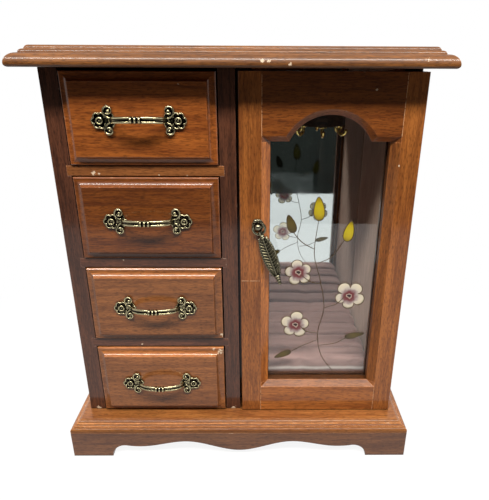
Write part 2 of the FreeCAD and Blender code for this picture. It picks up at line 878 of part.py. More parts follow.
def ring_pad():
    """Padded rolls side by side, drawn in at both ends."""
    x_low = x_stop_right + pad_side_gap
    x_high = x_right_lining - pad_side_gap
    pitch = (y_pad_back - y_pad_front) / pad_rolls
    z_crown_line = z_floor_top + pad_height
    z_valley = z_crown_line - pitch * pad_roll_share
    edges = [Part.makeLine(Vector(x_low, y_pad_front, z_floor_top), Vector(x_low, y_pad_back, z_floor_top))]
    edges.append(Part.makeLine(Vector(x_low, y_pad_front, z_floor_top), Vector(x_low, y_pad_front, z_valley)))
    edges.append(Part.makeLine(Vector(x_low, y_pad_back, z_floor_top), Vector(x_low, y_pad_back, z_valley)))
    for index in range(pad_rolls):
        y_start = y_pad_front + index * pitch
        start = Vector(x_low, y_start, z_valley)
        crown = Vector(x_low, y_start + pitch / 2, z_crown_line)
        end = Vector(x_low, y_start + pitch, z_valley)
        edges.append(Part.Arc(start, crown, end).toShape())
    rolls = face_of(edges).extrude(Vector(x_high - x_low, 0, 0))
    y_low = y_pad_front - overrun
    y_high = y_pad_back + overrun
    envelope = box(x_low, x_high, y_low, y_high, z_floor_top - pad_end_round, z_crown_line + overrun)
    upper_ends = []
    for edge in envelope.Edges:
        first = edge.Vertexes[0].Point
        last = edge.Vertexes[-1].Point
        if min(first.z, last.z) > z_valley and abs(first.x - last.x) < pad_end_round / 2:
            upper_ends.append(edge)
    envelope = envelope.makeFillet(pad_end_round, upper_ends)
    return rolls.common(envelope)


x_carousel = x_arch
y_carousel = (y_door_back + y_mirror) / 2
z_disc_high = top_low - carousel_drop
z_disc_low = z_disc_high - carousel_disc_thickness


def turned(profile):
    """A solid turned about the carousel's axis from radius and level pairs."""
    points = [Vector(x_carousel + radius, y_carousel, z) for radius, z in profile]
    wire = Part.makePolygon(points + points[:1])
    return Part.Face(wire).revolve(Vector(x_carousel, y_carousel, 0), Vector(0, 0, 1), 360)


def carousel_mount():
    """Boss, tapered neck, spindle and the cap that carries the disc."""
    z_boss = top_low - carousel_boss_thickness
    z_neck = z_disc_high + carousel_end_gap
    z_cap_high = z_disc_low - carousel_end_gap
    z_cap_low = z_cap_high - carousel_cap_thickness
    return turned([
        (0, top_low),
        (carousel_boss_radius, top_low),
        (carousel_boss_radius, z_boss),
        (carousel_neck_radius, z_boss),
        (carousel_neck_radius, z_neck),
        (carousel_spindle_radius, z_neck),
        (carousel_spindle_radius, z_cap_high),
        (carousel_cap_radius, z_cap_high),
        (carousel_cap_radius / 2, z_cap_low),
        (0, z_cap_low),
    ])


def carousel_disc():
    bore = carousel_spindle_radius + carousel_running_gap
    edge = carousel_disc_thickness / 4
    disc = turned([
        (bore, z_disc_high),
        (carousel_disc_radius - edge, z_disc_high),
        (carousel_disc_radius, z_disc_high - edge),
        (carousel_disc_radius, z_disc_low),
        (bore, z_disc_low),
    ])
    for index in range(hook_count):
        disc = disc.cut(hook_shank(index))
    return disc


def hook_foot(index):
    angle = math.radians(360 * (index + 0.5) / hook_count)
    x = x_carousel + math.cos(angle) * hook_circle_radius
    y = y_carousel + math.sin(angle) * hook_circle_radius
    return angle, x, y


def hook_section(index, z):
    angle, x, y = hook_foot(index)
    outward = Vector(math.cos(angle), math.sin(angle), 0)
    sideways = Vector(-math.sin(angle), math.cos(angle), 0)
    return Part.makePolygon(ring_points(hook_wire_radius, hook_sides, Vector(x, y, z), outward, sideways))


def hook_shank(index):
    return Part.Face(hook_section(index, z_disc_low)).extrude(Vector(0, 0, hook_sink))


def cup_hook(index):
    """A wire that leaves the disc, drops and turns up and out in facets."""
    angle, x, y = hook_foot(index)
    outward = Vector(math.cos(angle), math.sin(angle), 0)
    top = Vector(x, y, z_disc_low + hook_sink)
    stem = Vector(x, y, z_disc_low - hook_stem)
    middle = stem.add(outward * hook_loop_radius)
    points = [top]
    for step in range(hook_bends + 1):
        turn = math.pi * step / hook_bends
        across = outward * (-hook_loop_radius * math.cos(turn))
        points.append(middle.add(across).add(Vector(0, 0, -hook_loop_radius * math.sin(turn))))
    path = Part.makePolygon(points)
    return path.makePipeShell([hook_section(index, top.z)], True, True, 1)


def save(name, shape):
    shape.exportStep(os.path.join("parts", name + ".step"))


def build():
    os.makedirs("parts", exist_ok=True)

    # Top, base and aprons
    save("top_panel", moulded_board(top_low, top_thickness, top_moulding_reach, top_edge_shares))
    save("base_board", moulded_board(base_low, base_thickness, base_moulding_reach, base_edge_shares))
    save("front_apron", front_apron())
    save("left_apron", side_apron(-1))
    save("right_apron", side_apron(1))
    save("rear_apron", rear_apron())
    save("corner_blocks", corner_blocks())

    # Face frame and drawer divisions
    rails = [drawer_rail(low, high) for low, high in rail_levels()]
    dust_boards = [dust_board(high) for low, high in rail_levels()]
    left_stile = box(-half_case, x_left_inner, y_frame, y_case, base_high, top_low)
    middle_stile = box(x_partition_left, x_partition_right, y_frame, y_case, base_high, top_low)
    left_panel = box(-half_case, x_left_inner, y_case, y_case_back, base_high, top_low)
    partition = box(x_partition_left, x_partition_right, y_case, y_panel, base_high, top_low)
    for index, rail in enumerate(rails):
        left_stile = left_stile.cut(rail)
        middle_stile = middle_stile.cut(rail)
        left_panel = left_panel.cut(dust_boards[index])
        partition = partition.cut(dust_boards[index])
        save("drawer_rail_%d" % (index + 1), rail)
    save("left_stile", left_stile)
    save("middle_stile", middle_stile)
    save("left_side_panel", left_panel)
    save("partition", partition)
    save("dust_boards", group(dust_boards))

    # Right side, back, door stop and catch
    right_panel = box(x_right_inner, half_case, y_case, y_case_back, base_high, top_low)
    case_leaves = []
    for low, high in hinge_levels():
        right_panel = right_panel.cut(case_leaf_plate(low, high))
        case_leaves.append(case_leaf(low, high))
    save("right_side_panel", right_panel)
    save("back_panel", box(x_left_inner, x_right_inner, y_panel, y_case_back, base_high, top_low))
    magnets = [catch_magnet(z) for z in magnet_levels()]
    door_stop = box(x_partition_right, x_stop_right, y_case, y_case + door_stop_depth, base_high, top_low)
    for magnet in magnets:
        door_stop = door_stop.cut(magnet)
    save("door_stop", door_stop)
    save("catch_magnets", group(magnets))
    save("hinge_case_leaves", group(case_leaves))
    save("hinge_pins", group([hinge_pin(low, high) for low, high in hinge_levels()]))

    # Compartment
    y_stop_back = y_case + door_stop_depth
    left_lining = box(x_partition_right, x_left_lining, y_stop_back, y_mirror, base_high, top_low)
    right_lining = box(x_right_lining, x_right_inner, y_case, y_mirror, base_high, top_low)
    save("left_wall_lining", left_lining)
    save("right_wall_lining", right_lining)
    save("mirror", box(x_partition_right, x_right_inner, y_mirror, y_panel, base_high, top_low))
    save("raised_floor", raised_floor())
    save("ring_pad", ring_pad())
    save("carousel_mount", carousel_mount())
    save("carousel_disc", carousel_disc())
    save("carousel_hooks", group([cup_hook(index) for index in range(hook_count)]))

    # Door
    left, right, top, bottom = door_frame()
    save("door_left_stile", left)
    save("door_right_stile", right)
    save("door_top_rail", top)
    save("door_bottom_rail", bottom)
    save("door_glass", door_glass())
    save("glazing_beads", glazing_beads())
    save("hinge_door_leaves", group([door_leaf(low, high) for low, high in hinge_levels()]))
    save("strike_plates", group([strike_plate(z) for z in magnet_levels()]))
    save("pull_post", pull_post())
    save("pull_pendant", pendant())

    # Drawers, numbered from the top down
    pull = drawer_pull()
    floors = [high for low, high in rail_levels()] + [base_high]
    for index, (low, high) in enumerate(drawer_levels()):
        name = "drawer_%d_" % (index + 1)
        walls, board, lining = drawer_box(low, floors[index])
        save(name + "front", moulded_drawer_front(low, high))
        save(name + "walls", walls)
        save(name + "bottom", board)
        save(name + "lining", lining)
        save(name + "pull", place_pull(pull, low, high))


build()
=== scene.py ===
import math
import random

import bpy
from mathutils import Matrix, Vector, noise


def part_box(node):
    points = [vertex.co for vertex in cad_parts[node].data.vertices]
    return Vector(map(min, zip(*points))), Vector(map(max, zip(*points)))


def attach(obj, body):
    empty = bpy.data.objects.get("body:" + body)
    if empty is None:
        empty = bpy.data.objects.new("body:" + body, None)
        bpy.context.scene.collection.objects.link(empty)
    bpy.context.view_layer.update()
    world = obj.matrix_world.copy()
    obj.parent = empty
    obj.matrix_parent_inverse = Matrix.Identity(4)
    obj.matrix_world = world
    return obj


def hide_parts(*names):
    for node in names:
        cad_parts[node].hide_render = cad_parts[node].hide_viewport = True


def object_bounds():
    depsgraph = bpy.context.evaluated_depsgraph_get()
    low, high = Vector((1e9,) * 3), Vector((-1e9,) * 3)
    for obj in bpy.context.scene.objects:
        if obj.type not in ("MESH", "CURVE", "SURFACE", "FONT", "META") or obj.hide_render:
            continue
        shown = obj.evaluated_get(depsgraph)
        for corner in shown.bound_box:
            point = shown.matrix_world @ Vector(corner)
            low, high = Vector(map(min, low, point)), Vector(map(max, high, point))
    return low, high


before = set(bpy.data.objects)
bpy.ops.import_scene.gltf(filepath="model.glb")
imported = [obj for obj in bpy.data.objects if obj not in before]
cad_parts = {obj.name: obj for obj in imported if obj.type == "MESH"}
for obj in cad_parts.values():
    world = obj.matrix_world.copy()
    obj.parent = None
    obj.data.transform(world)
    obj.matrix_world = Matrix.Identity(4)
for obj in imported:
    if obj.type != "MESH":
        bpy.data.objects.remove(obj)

cad_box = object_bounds()

# The look of a table-top jewellery cabinet: lacquered wood, cast antique
# brass pulls, a mirrored and velvet lined compartment behind painted glass.
# Metres, in the same frame as the solids. Lengths are written in millimetres
# times MM, and tables of places hold plain millimetres that are scaled where
# they are used. Colours are 8-bit screen colours.

MM = 0.001
X = Vector((1, 0, 0))
Y = Vector((0, 1, 0))
Z = Vector((0, 0, 1))
full_turn = 2 * math.pi
drawers = range(1, 5)

# Camera
image_width = 489
image_height = 500
focal_pixels = 485.16
centre_column = 262.45
sensor_width = 36.0
camera_place = Vector((15.71, -397.4, 322.73)) * MM
camera_pitch = math.radians(22.19)
camera_yaw = math.radians(0.57)
camera_roll = math.radians(-0.29)
camera_near = 10.0 * MM
camera_far = 20000.0 * MM

# Sides of swept bars, and rings and segments of balls
stout_sides = 16
bar_sides = 14
wire_sides = 12
strand_sides = 10
stroke_sides = 8
hair_sides = 6
plain_ball = (12, 20)
seed_ball = (8, 12)
thin_ball = (8, 14)
cap_share = 0.6
first_guide = Vector((0.31, 0.87, 0.38))
second_guide = Vector((0.8, 0.1, 0.58))
least_side = 0.05
point_radius = 0.01 * MM
melt_factor = 0.4

# Cast drawer pull
pull_spread = 53.0 * MM
pull_plate = 0.9 * MM
pull_root_depth = 1.3 * MM
pull_bow_half = 18.0 * MM
pull_bow_reach = 11.4 * MM
pull_bow_rise = 1.6 * MM
pull_bow_core = 0.85 * MM
pull_bow_edge = 1.45 * MM
pull_bow_power = 0.86
pull_bow_steps = 60
pull_edge_wire = 0.82 * MM
pull_groove = 1.0 * MM
pull_collars = 3
pull_collar_pitch = 2.8 * MM
pull_collar_radius = 1.95 * MM
pull_collar_bead = 0.75 * MM
pull_collar_steps = 28
pull_rose_radius = 1.95 * MM
pull_rose_wire = 0.58 * MM
pull_rose_depth = 2.1 * MM
pull_rose_steps = 30
pull_seed_radius = 0.75 * MM
pull_seed_share = 0.8
pull_lobes = 5
pull_lobe_place = 3.25 * MM
pull_lobe_radius = 2.15 * MM
pull_lobe_wire = 0.52 * MM
pull_lobe_spread = math.radians(232)
pull_lobe_start = math.radians(-88)
pull_lobe_steps = 20
pull_scroll_inset = 5.9 * MM
pull_scroll_rise = 6.5 * MM
pull_upper_scroll = 2.9 * MM
pull_lower_scroll = 2.7 * MM
pull_scroll_wire = 0.68 * MM
pull_scroll_start = math.radians(205)
pull_scroll_turn = math.radians(330)
pull_scroll_steps = 30
pull_scroll_lead_steps = 14
pull_scroll_tighten_share = 0.42
pull_scroll_lift_share = 0.5
pull_scroll_ball = 1.2 * MM
pull_lower_ball_share = 0.8
pull_ball_inset_share = 0.2
pull_ball_lift_share = 1.2
pull_backing_shares = (0.75, 0.7, 0.95)
pull_voxel = 0.19 * MM
pull_relax = 4

# Drop pull on the door
drop_tilt = math.radians(20)
drop_depth = 1.6 * MM
drop_ring_radius = 4.5 * MM
drop_ring_bead = 1.0 * MM
drop_ring_sag = 2.2 * MM
drop_ring_steps = 40
drop_crest_place = Vector((-0.4, -2.2, 4.5)) * MM
drop_crest_size = Vector((1.75, 1.5, 1.6)) * MM
drop_curl_place = Vector((1.6, -2.4, 2.9)) * MM
drop_curl_radius = 1.5 * MM
drop_curl_wire = 0.6 * MM
drop_curl_start = math.radians(200)
drop_curl_turn = math.radians(-260)
drop_curl_steps = 22
drop_half_width = 4.9 * MM
drop_neck_half = 1.5 * MM
drop_neck_start = 7.6 * MM
drop_neck_length = 3.0 * MM
drop_neck_radius = 1.7 * MM
drop_small_ring_steps = 24
drop_leaf_start = 2.4 * MM
drop_body_end = 42.0 * MM
drop_length = 51.0 * MM
drop_samples = 90
drop_panel_columns = 9
drop_panel_thickness = 1.3 * MM
drop_swell_shares = (0.06, 0.96)
drop_swell_power = 0.7
drop_rope_strand = 0.62 * MM
drop_rope_offset = 0.5 * MM
drop_rope_turns = 9
drop_ridge_radius = 0.5 * MM
drop_ridge_lift = 1.0 * MM
drop_ridge_inset = 2
drop_barbs = 11
drop_barb_radius = 0.38 * MM
drop_barb_lift = 0.7 * MM
drop_barb_shares = (0.1, 0.86)
drop_barb_slant_share = 0.07
drop_barb_reach_share = 0.85
# Rings below the start of the neck and below the end of the leaf: place, radius and wire
drop_neck_rings = [(0.6, 1.5, 0.65), (2.1, 1.5, 0.65)]
drop_tip_rings = [(0.8, 1.5, 0.95), (2.9, 1.3, 0.87), (5.0, 1.1, 0.79)]
drop_tip_bar = 1.3 * MM
drop_tip_bar_start = 1.0 * MM
drop_tip_bar_end = 1.8 * MM
drop_tip_size = Vector((1.5, 1.4, 1.9)) * MM
drop_voxel = 0.2 * MM
drop_relax = 2
post_flange_radius = 4.6 * MM
post_flange_thickness = 1.2 * MM
post_flange_shares = [(0.9565, 0.0), (1.0, 0.25), (0.9565, 0.6667), (0.7391, 0.9583)]
post_neck_radius = 1.2 * MM
post_shoulder = 0.1 * MM
post_head_radius = 2.5 * MM
post_head_length = 3.0 * MM
post_head_shares = [(0.6, 0.0), (0.9, 0.1), (1.0, 0.3), (0.93, 0.5333), (0.72, 0.7667), (0.4, 0.9333)]
post_segments = 40

# Necklace hooks
hook_wire_radius = 1.25 * MM
hook_circle_radius = 16.5 * MM
hook_loop_radius = 3.2 * MM
hook_loop_start = math.pi * 1.06
hook_loop_turn = math.pi * 0.94
hook_loop_steps = 18
hook_stem = 4.0 * MM
hook_stem_shares = (0.5, 1.0)
hook_sink = 3.0 * MM
hook_sink_shares = (1.0, 0.5, 0.0)
hook_count = 6
hook_ball_share = 1.25
hook_flange_radius = 3.6 * MM
hook_flange_thickness = 1.3 * MM
hook_flange_shares = [(1.0, 0.0), (1.0, 0.5), (0.7, 1.0)]
hook_segments = 24

# Ring pad
pad_rolls = 5
pad_segments_along = 44
pad_segments_round = 30
pad_flat = 0.5
pad_gap = 0.35 * MM
pad_end_gap = 0.8 * MM
pad_end_share = 0.08
pad_pinch_share = 0.78
pad_side_power = 0.42
pad_top_power = 0.26
pad_swell_start = 0.955
pad_cap = 1.2 * MM
pad_frames = 20
pad_pressure = 2.2
pad_shrink = -0.012
pad_stiffness = 3.0
pad_pin_height = 1.0 * MM
# A painted highlight line across the pad's front, this high over its foot, with painted shade on the front
# below it
pad_highlight_height = 11.0 * MM
pad_shadow_depth = 4.0 * MM
pad_shadow_level = 0.7
pad_highlight_width = (0.3 * MM, 2.2 * MM)
pad_highlight_share = 0.6
pad_front_facing = (-0.3, -0.8)

# Velvet panels
velvet_cell = 3.0 * MM
velvet_least_cells = 8
velvet_wave = 0.22 * MM
velvet_wave_fineness = 38
velvet_layer_step = 40
velvet_rim_share = 0.25
wall_velvet_rim = 2.0 * MM
drawer_velvet_rim = 2.5 * MM

# Rubbed lines on the door's face
line_width = 0.34 * MM
line_steps = 60
line_waver = 0.08 * MM
line_fineness = 300
line_cover = 0.55
line_fade = 0.04
lap_places = (18.2 * MM, 115.4 * MM)
lap_bevel = 4.2 * MM
scratch_start = (3.0 * MM, 17.0 * MM)
scratch_level = 158.0 * MM

# Painted spray on the glass: a generic flowering twig. Places are x and z.
paint_height = 0.18 * MM
stem_width = 0.75 * MM
stem_end_share = 0.45
stem_taper_shares = (0.03, 0.97)
outline_width = 0.55 * MM
outline_lift_share = 1.1
outline_height_share = 1.8
curve_steps = 16
patch_rings = 8
patch_rim_drop_share = 0.5
patch_rim_power = 4
twig_lines = [
    [(82, 64), (70, 82), (66, 104), (70, 128), (66, 152), (60, 176), (62, 204)],
    [(66, 104), (56, 106), (50, 112)],
    [(70, 128), (80, 132), (87, 139)],
    [(66, 150), (58, 152), (50, 158)],
    [(63, 168), (74, 174), (83, 188)],
    [(60, 180), (50, 186), (43, 194)],
    [(68, 92), (80, 94), (90, 99)],
    [(67, 98), (54, 92), (44, 86)],
]
blossom_petals = 5
blossom_petal_steps = 16
blossom_waist_share = 0.55
blossom_petal_power = 0.45
blossom_uneven_share = 0.08
# Middle, radius, turn in radians and seed of each blossom
blossoms = [((47, 112), 12.0, 0.2, 1), ((90, 139), 12.2, 0.9, 2), ((48, 160), 11.0, 0.5, 3)]
leaf_steps = 40
leaf_taper_share = 0.35
# Middle, length, width, turn in degrees and paint of each bud and leaf
leaves = {
    "bud_1": ((86, 195), 17, 7.5, 80, "yellow"),
    "bud_2": ((62, 213), 19, 8, 94, "yellow"),
    "bud_3": ((41, 201), 15, 6.5, 108, "olive"),
    "leaf_1": ((97, 102), 16, 5, 14, "olive"),
    "leaf_2": ((37, 83), 15, 5, 205, "olive"),
}
# Radius over which each paint's colour runs, and its colours from the middle out
paints = {
    "stem": (300.0 * MM, [(0.0, (98, 76, 44)), (1.0, (72, 55, 34))]),
    "edge": (300.0 * MM, [(0.0, (112, 92, 58)), (1.0, (86, 68, 42))]),
    "petal": (12.0 * MM, [
        (0.0, (20, 8, 8)), (0.11, (54, 12, 14)), (0.14, (206, 190, 170)), (0.18, (176, 150, 142)),
        (0.22, (112, 30, 34)), (0.34, (124, 62, 66)), (0.5, (170, 150, 148)), (0.66, (226, 216, 198)),
        (1.0, (240, 228, 202)),
    ]),
    "yellow": (9.0 * MM, [(0.0, (206, 188, 30)), (0.55, (196, 172, 24)), (1.0, (132, 112, 20))]),
    "olive": (8.0 * MM, [(0.0, (96, 80, 28)), (0.6, (82, 68, 26)), (1.0, (58, 48, 22))]),
}

# Noise patterns: fineness per metre in x, y and z for a grain along z, then
# detail, roughness and distortion.
patterns = {
    "fibre": ((1350, 1350, 90), 4, 0.62, 0.0),
    "figure": ((200, 200, 11), 3, 0.55, 0.6),
    "pores": ((1500, 1500, 260), 2, 0.5, 0.0),
    "cloud": ((14, 14, 14), 2, 0.5, 0.0),
    "rub": ((170, 170, 170), 4, 0.7, 0.0),
    "ragged": ((700, 700, 700), 4, 0.7, 0.0),
    "haze": ((45, 45, 45), 3, 0.5, 0.0),
    "nap": ((2200, 2200, 2200), 3, 0.7, 0.0),
    "brushed": ((22, 260, 60), 3, 0.5, 0.4),
    "grime": ((420, 420, 420), 4, 0.65, 0.0),
    "mottle": ((300, 300, 300), 3, 0.5, 0.0),
    "drawn": ((90, 90, 900), 3, 0.5, 0.0),
    "mirror_smear": ((30, 30, 55), 4, 0.6, 1.2),
    "specks": ((900, 900, 900), 1, 0.5, 0.0),
    "glass_smear": ((26, 26, 44), 3, 0.5, 1.0),
    "brush_marks": ((340, 340, 340), 3, 0.5, 0.0),
    "dashes": ((260, 260, 260), 4, 0.7, 0.0),
    "room": ((3, 3, 3), 2, 0.5, 0.0),
}
noise_range = (0.3, 0.7)
broad_range = (0.25, 0.75)
whole_range = (0.0, 1.0)

# Lacquered wood
wood_shift_shares = (1.0, 0.7, 1.3)
wood_board_shift = 1.7
wood_fibre_share = 0.5
wood_tone_places = (0.4, 0.6)
wood_pore_places = (0.38, 0.47)
wood_pore_share = 0.5
wood_pore_tone_share = 0.36
wood_cloud_shares = (0.84, 1.14)
wood_arris = 0.8 * MM
wood_arris_range = (0.995, 0.9)
wood_rays = 6
wood_open_reach = 4.0 * MM
wood_open_range = (0.55, 0.8)
wood_rub_range = (0.35, 0.6)
wood_rub_shares = (0.25, 1.0)
wood_worn = 0.5
wood_bare_factor = 2.0
wood_bare_lift = 0.05
wood_chip_places = (0.62, 0.68)
wood_chip_factor = 1.6
wood_chip_share = 0.8
wood_chip_rim_shares = (0.9, 1.1)
# Painted shade in hollows: how closed in the surface is, and how dark it gets there
wood_hollow_shade_range = (0.25, 0.8)
wood_hollow_shade_shares = (0.38, 1.0)
wood_rough = 0.42
wood_rough_spread = (-0.02, 0.04)
wood_coat = 0.55
wood_pore_relief = 0.6
wood_bump_height = 0.1 * MM
slope_fade = 0.1
slope_gloss_power = 6
fleck_tone = (222, 200, 172)

# Unfinished timber
timber_shift = 2.3
timber_worn = 0.15
timber_rough = 0.68
timber_coat = 0.0

# Velvet
velvet_nap_share = 0.5
velvet_tone_places = (0.32, 0.66)
velvet_bump_height = 0.15 * MM
velvet_sheen_tone = (214, 190, 186)
# The linings are paler than the pad, partly as painted light standing in for light on the compartment's walls
lining_tones = ((206, 166, 144), (160, 122, 106))
pad_tones = ((172, 134, 130), (128, 96, 94))
pad_shift = 3.1
# Painted shadow and painted highlight on the pad's front
painted_shadow_tone = (58, 46, 46)
painted_highlight_tone = (240, 228, 226)

# Brass and steel
brass_rays = 12
brass_reach = 2.0 * MM
brass_crown_range = (0.47, 0.53)
brass_crown_lift = (-0.16, 0.16)
brass_grime_lift = (-0.04, 0.04)
brass_tones = [(0.6, (8, 8, 6)), (0.8, (34, 31, 23)), (0.92, (84, 78, 57))]
brass_rough = (0.17, 0.28)
brass_bump = 0.1
pull_crest_tone = (172, 162, 128)
drop_crest_tone = (126, 121, 100)
metal_bump_height = 0.05 * MM
metal_bump = 0.08
metal_dark_share = 0.6
metal_tone_places = (0.25, 0.6)
bright_brass_tone = (255, 226, 140)
bright_brass_rough = (0.16, 0.26)
steel_tone = (176, 178, 182)
steel_rough = (0.3, 0.45)

# Mirror, glass and paint
mirror_tones = ((226, 228, 230), (176, 178, 180))
mirror_speck_places = (0.76, 0.8)
mirror_speck_rough = 0.35
mirror_smear_range = (0.45, 0.75)
mirror_smear_rough = (0.012, 0.06)
glass_tone = (246, 250, 248)
glass_clear_tone = (244, 248, 246)
glass_smear_range = (0.5, 0.8)
glass_smear_rough = (0.0, 0.04)
paint_uneven = (-0.08, 0.08)
paint_bump_height = 0.1 * MM
paint_rough = (0.3, 0.5)
paint_thin_share = 0.15
paint_layers = 2
paint_film_shares = (0.12, 1.0)
line_tone = (206, 160, 118)

# Stage and light
floor_reach = 3000.0 * MM
floor_lit_level = 0.16
floor_seen_level = 0.95
floor_glow_range = (200.0 * MM, 400.0 * MM)
floor_glow_shares = (0.9, 1.0)
card_distance = 620.0 * MM
card_half_width = 1600.0 * MM
card_foot = 2.0 * MM
card_height = 500.0 * MM
card_tones = ((24, 27, 26), (42, 45, 42))
sky_colour = (0.93, 0.96, 1.0, 1.0)
sky_strength = 0.025
white = (1.0, 1.0, 1.0, 1.0)
key_place = Vector((50.0, -1000.0, 1700.0)) * MM
key_size = (2200.0 * MM, 280.0 * MM)
key_power = 72
key_colour = (1.0, 0.97, 0.92)
back_place = Vector((-300.0, 1400.0, 900.0)) * MM
back_size = (1600.0 * MM, 800.0 * MM)
back_power = 26
back_colour = (1.0, 1.0, 1.0)

# Pale and deep tone of each wood
wood_tones = {
    "red": ((158, 88, 34), (112, 56, 20)),
    "tan": ((158, 98, 52), (114, 66, 33)),
    "dark": ((92, 54, 36), (58, 32, 21)),
    "base": ((124, 79, 48), (86, 50, 30)),
    "top": ((143, 90, 43), (98, 58, 27)),
    "ledge": ((172, 110, 56), (132, 76, 36)),
    "door": ((164, 98, 43), (118, 64, 26)),
    "bare": ((190, 158, 118), (166, 132, 94)),
}
# Wood, axis of the grain and brightness of each lacquered board. The brightness is partly the board's own
# tone and partly painted light and shade, standing in for how brightly each board is lit.
wood_boards = {
    "top_panel": ("top", "X", 0.83),
    "base_board": ("ledge", "X", 0.84),
    "front_apron": ("base", "X", 1.0),
    "left_apron": ("base", "Y", 0.95),
    "right_apron": ("base", "Y", 0.95),
    "rear_apron": ("base", "X", 0.9),
    "left_stile": ("dark", "Z", 1.0),
    "middle_stile": ("dark", "Z", 1.0),
    "left_side_panel": ("dark", "Z", 1.15),
    "right_side_panel": ("dark", "Z", 1.15),
    "partition": ("dark", "Z", 0.9),
    "door_stop": ("dark", "Z", 0.8),
    "glazing_beads": ("dark", "Z", 1.25),
    "carousel_disc": ("dark", "X", 0.9),
    "carousel_mount": ("dark", "Z", 0.9),
    "drawer_rail_1": ("tan", "X", 0.79),
    "drawer_rail_2": ("dark", "X", 1.1),
    "drawer_rail_3": ("dark", "X", 1.4),
    "door_left_stile": ("door", "Z", 0.95),
    "door_right_stile": ("door", "Z", 0.98),
    "door_top_rail": ("red", "X", 0.66),
    "door_bottom_rail": ("door", "X", 1.12),
    "drawer_1_front": ("red", "X", 0.94),
    "drawer_2_front": ("red", "X", 0.54),
    "drawer_3_front": ("tan", "X", 0.86),
    "drawer_4_front": ("tan", "X", 0.92),
}
# Unfinished boards and the axis of their grain
bare_boards = {
    "corner_blocks": "Z",
    "dust_boards": "Y",
    "back_panel": "Z",
    "raised_floor": "X",
}
# Boards whose edges are rubbed paler more, as wear and as painted highlight lines along their mouldings and
# arrises, and boards with less lacquer
worn_highlit_boards = {"base_board": 1.0, "door_bottom_rail": 1.0}
dull_boards = {"top_panel": 0.28, "left_side_panel": 0.12, "right_side_panel": 0.12}
# Painted light and shade: slopes made darker or paler than the rest of the board
# by the way they face: the direction they face, how closely they face it, and the factor
slope_shading = {
    "base_board": [(-Y, 0.3, 0.78)],
    "door_bottom_rail": [(Z, 0.4, 0.62), (Z, 0.85, 0.4)],
    "door_top_rail": [(-Z, 0.4, 1.9)],
    "door_left_stile": [(X, 0.4, 1.7)],
    "drawer_2_front": [(Z, 0.3, 1.25)],
    "drawer_3_front": [(Z, 0.3, 1.5), (-Z, 0.3, 1.35)],
    "drawer_4_front": [(Z, 0.3, 1.6)],
    "door_right_stile": [(-X, 0.4, 0.8)],
}
# Places where the lacquer is chipped through: middle and radius
board_chips = {
    "drawer_rail_1": [((-102.1, -55.0, 242.3), 1.6), ((-98.0, -55.0, 241.9), 0.9),
                      ((-55.2, -55.0, 240.9), 0.7), ((-35.2, -55.0, 240.3), 0.7)],
    "drawer_rail_2": [((-87.4, -55.0, 174.6), 0.6)],
    "drawer_rail_3": [((-80.0, -55.0, 99.1), 0.7)],
    "top_panel": [((18.0, -76.0, 317.6), 1.5), ((22.5, -76.0, 317.9), 1.1),
                  ((121.8, -76.0, 319.8), 1.7), ((35.4, -76.0, 316.0), 1.0)],
    "drawer_1_front": [((-37.0, -60.7, 303.1), 0.6)],
    "drawer_3_front": [((-13.6, -57.5, 109.3), 1.7)],
    "drawer_4_front": [((-15.0, -57.8, 93.0), 2.6), ((-20.5, -57.0, 95.6), 1.2)],
    "left_stile": [((-123.1, -55.0, 34.0), 1.8)],
    "middle_stile": [((-5.2, -55.0, 33.2), 2.4)],
    "door_right_stile": [((115.6, -57.3, 248.4), 0.8)],
    "door_top_rail": [((95.1, -57.3, 299.6), 0.9)],
}


def screen(tone):
    """Linear colour of an 8-bit screen colour."""
    levels = []
    for level in tone:
        share = level / 255
        levels.append(share / 12.92 if share < 0.04045 else ((share + 0.055) / 1.055) ** 2.4)
    return (levels[0], levels[1], levels[2], 1.0)


def scaled(colour, factor, lift=0.0):
    """A linear colour made brighter or darker."""
    return tuple(min(1.0, level * factor + lift) for level in colour[:3]) + (1.0,)


# Mesh helpers

class Mesh:
    """Collects points and faces of several forms."""

    def __init__(self):
        self.points = []
        self.faces = []

    def add(self, points, faces):
        start = len(self.points)
        self.points.extend(Vector(point) for point in points)
        self.faces.extend([index + start for index in face] for face in faces)

    def place(self, matrix):
        self.points = [matrix @ point for point in self.points]

    def data(self, name):
        mesh = bpy.data.meshes.new(name)
        mesh.from_pydata(self.points, [], self.faces)
        mesh.validate()
        mesh.update()
        return mesh


def make_object(name, form, body, material):
    """Links a form or a mesh as a smooth piece that rides on a body."""
    mesh = form.data(name) if isinstance(form, Mesh) else form
    piece = bpy.data.objects.new(name, mesh)
    bpy.context.collection.objects.link(piece)
    for polygon in mesh.polygons:
        polygon.use_smooth = True
    if not mesh.materials:
        mesh.materials.append(material)
    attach(piece, body)
    return piece


def soften(piece):
    """Rounds a piece by one subdivision."""
    subdivision = piece.modifiers.new("soften", "SUBSURF")
    subdivision.levels = 1
    subdivision.render_levels = 1


def grid_faces(rows, columns, wrap_rows=False, wrap_columns=False):
    """Faces between rows of points."""
    faces = []
    for row in range(rows if wrap_rows else rows - 1):
        for column in range(columns if wrap_columns else columns - 1):
            next_row = (row + 1) % rows
            next_column = (column + 1) % columns
            faces.append([
                row * columns + column,
                row * columns + next_column,
                next_row * columns + next_column,
                next_row * columns + column,
            ])
    return faces


def slab_faces(rows, columns):
    """Faces of a closed slab: two layers of a grid of points and the rim between them."""
    total = rows * columns
    quads = grid_faces(rows, columns)
    faces = quads + [[index + total for index in reversed(quad)] for quad in quads]
    rim = list(range(columns))
    rim += [row * columns + columns - 1 for row in range(1, rows)]
    rim += [(rows - 1) * columns + column for column in range(columns - 2, -1, -1)]
    rim += [row * columns for row in range(rows - 2, 0, -1)]
    for index, point in enumerate(rim):
        after = rim[(index + 1) % len(rim)]
        faces.append([after, point, point + total, after + total])
    return faces


def plumped(share, power):
    """A share between minus one and one, made larger by a power under one."""
    return math.copysign(abs(share) ** power, share)


def stretched(shares, radius, length, start=0.0):
    """A profile of radius and place, from their shares."""
    return [(radius * across, start + length * along) for across, along in shares]


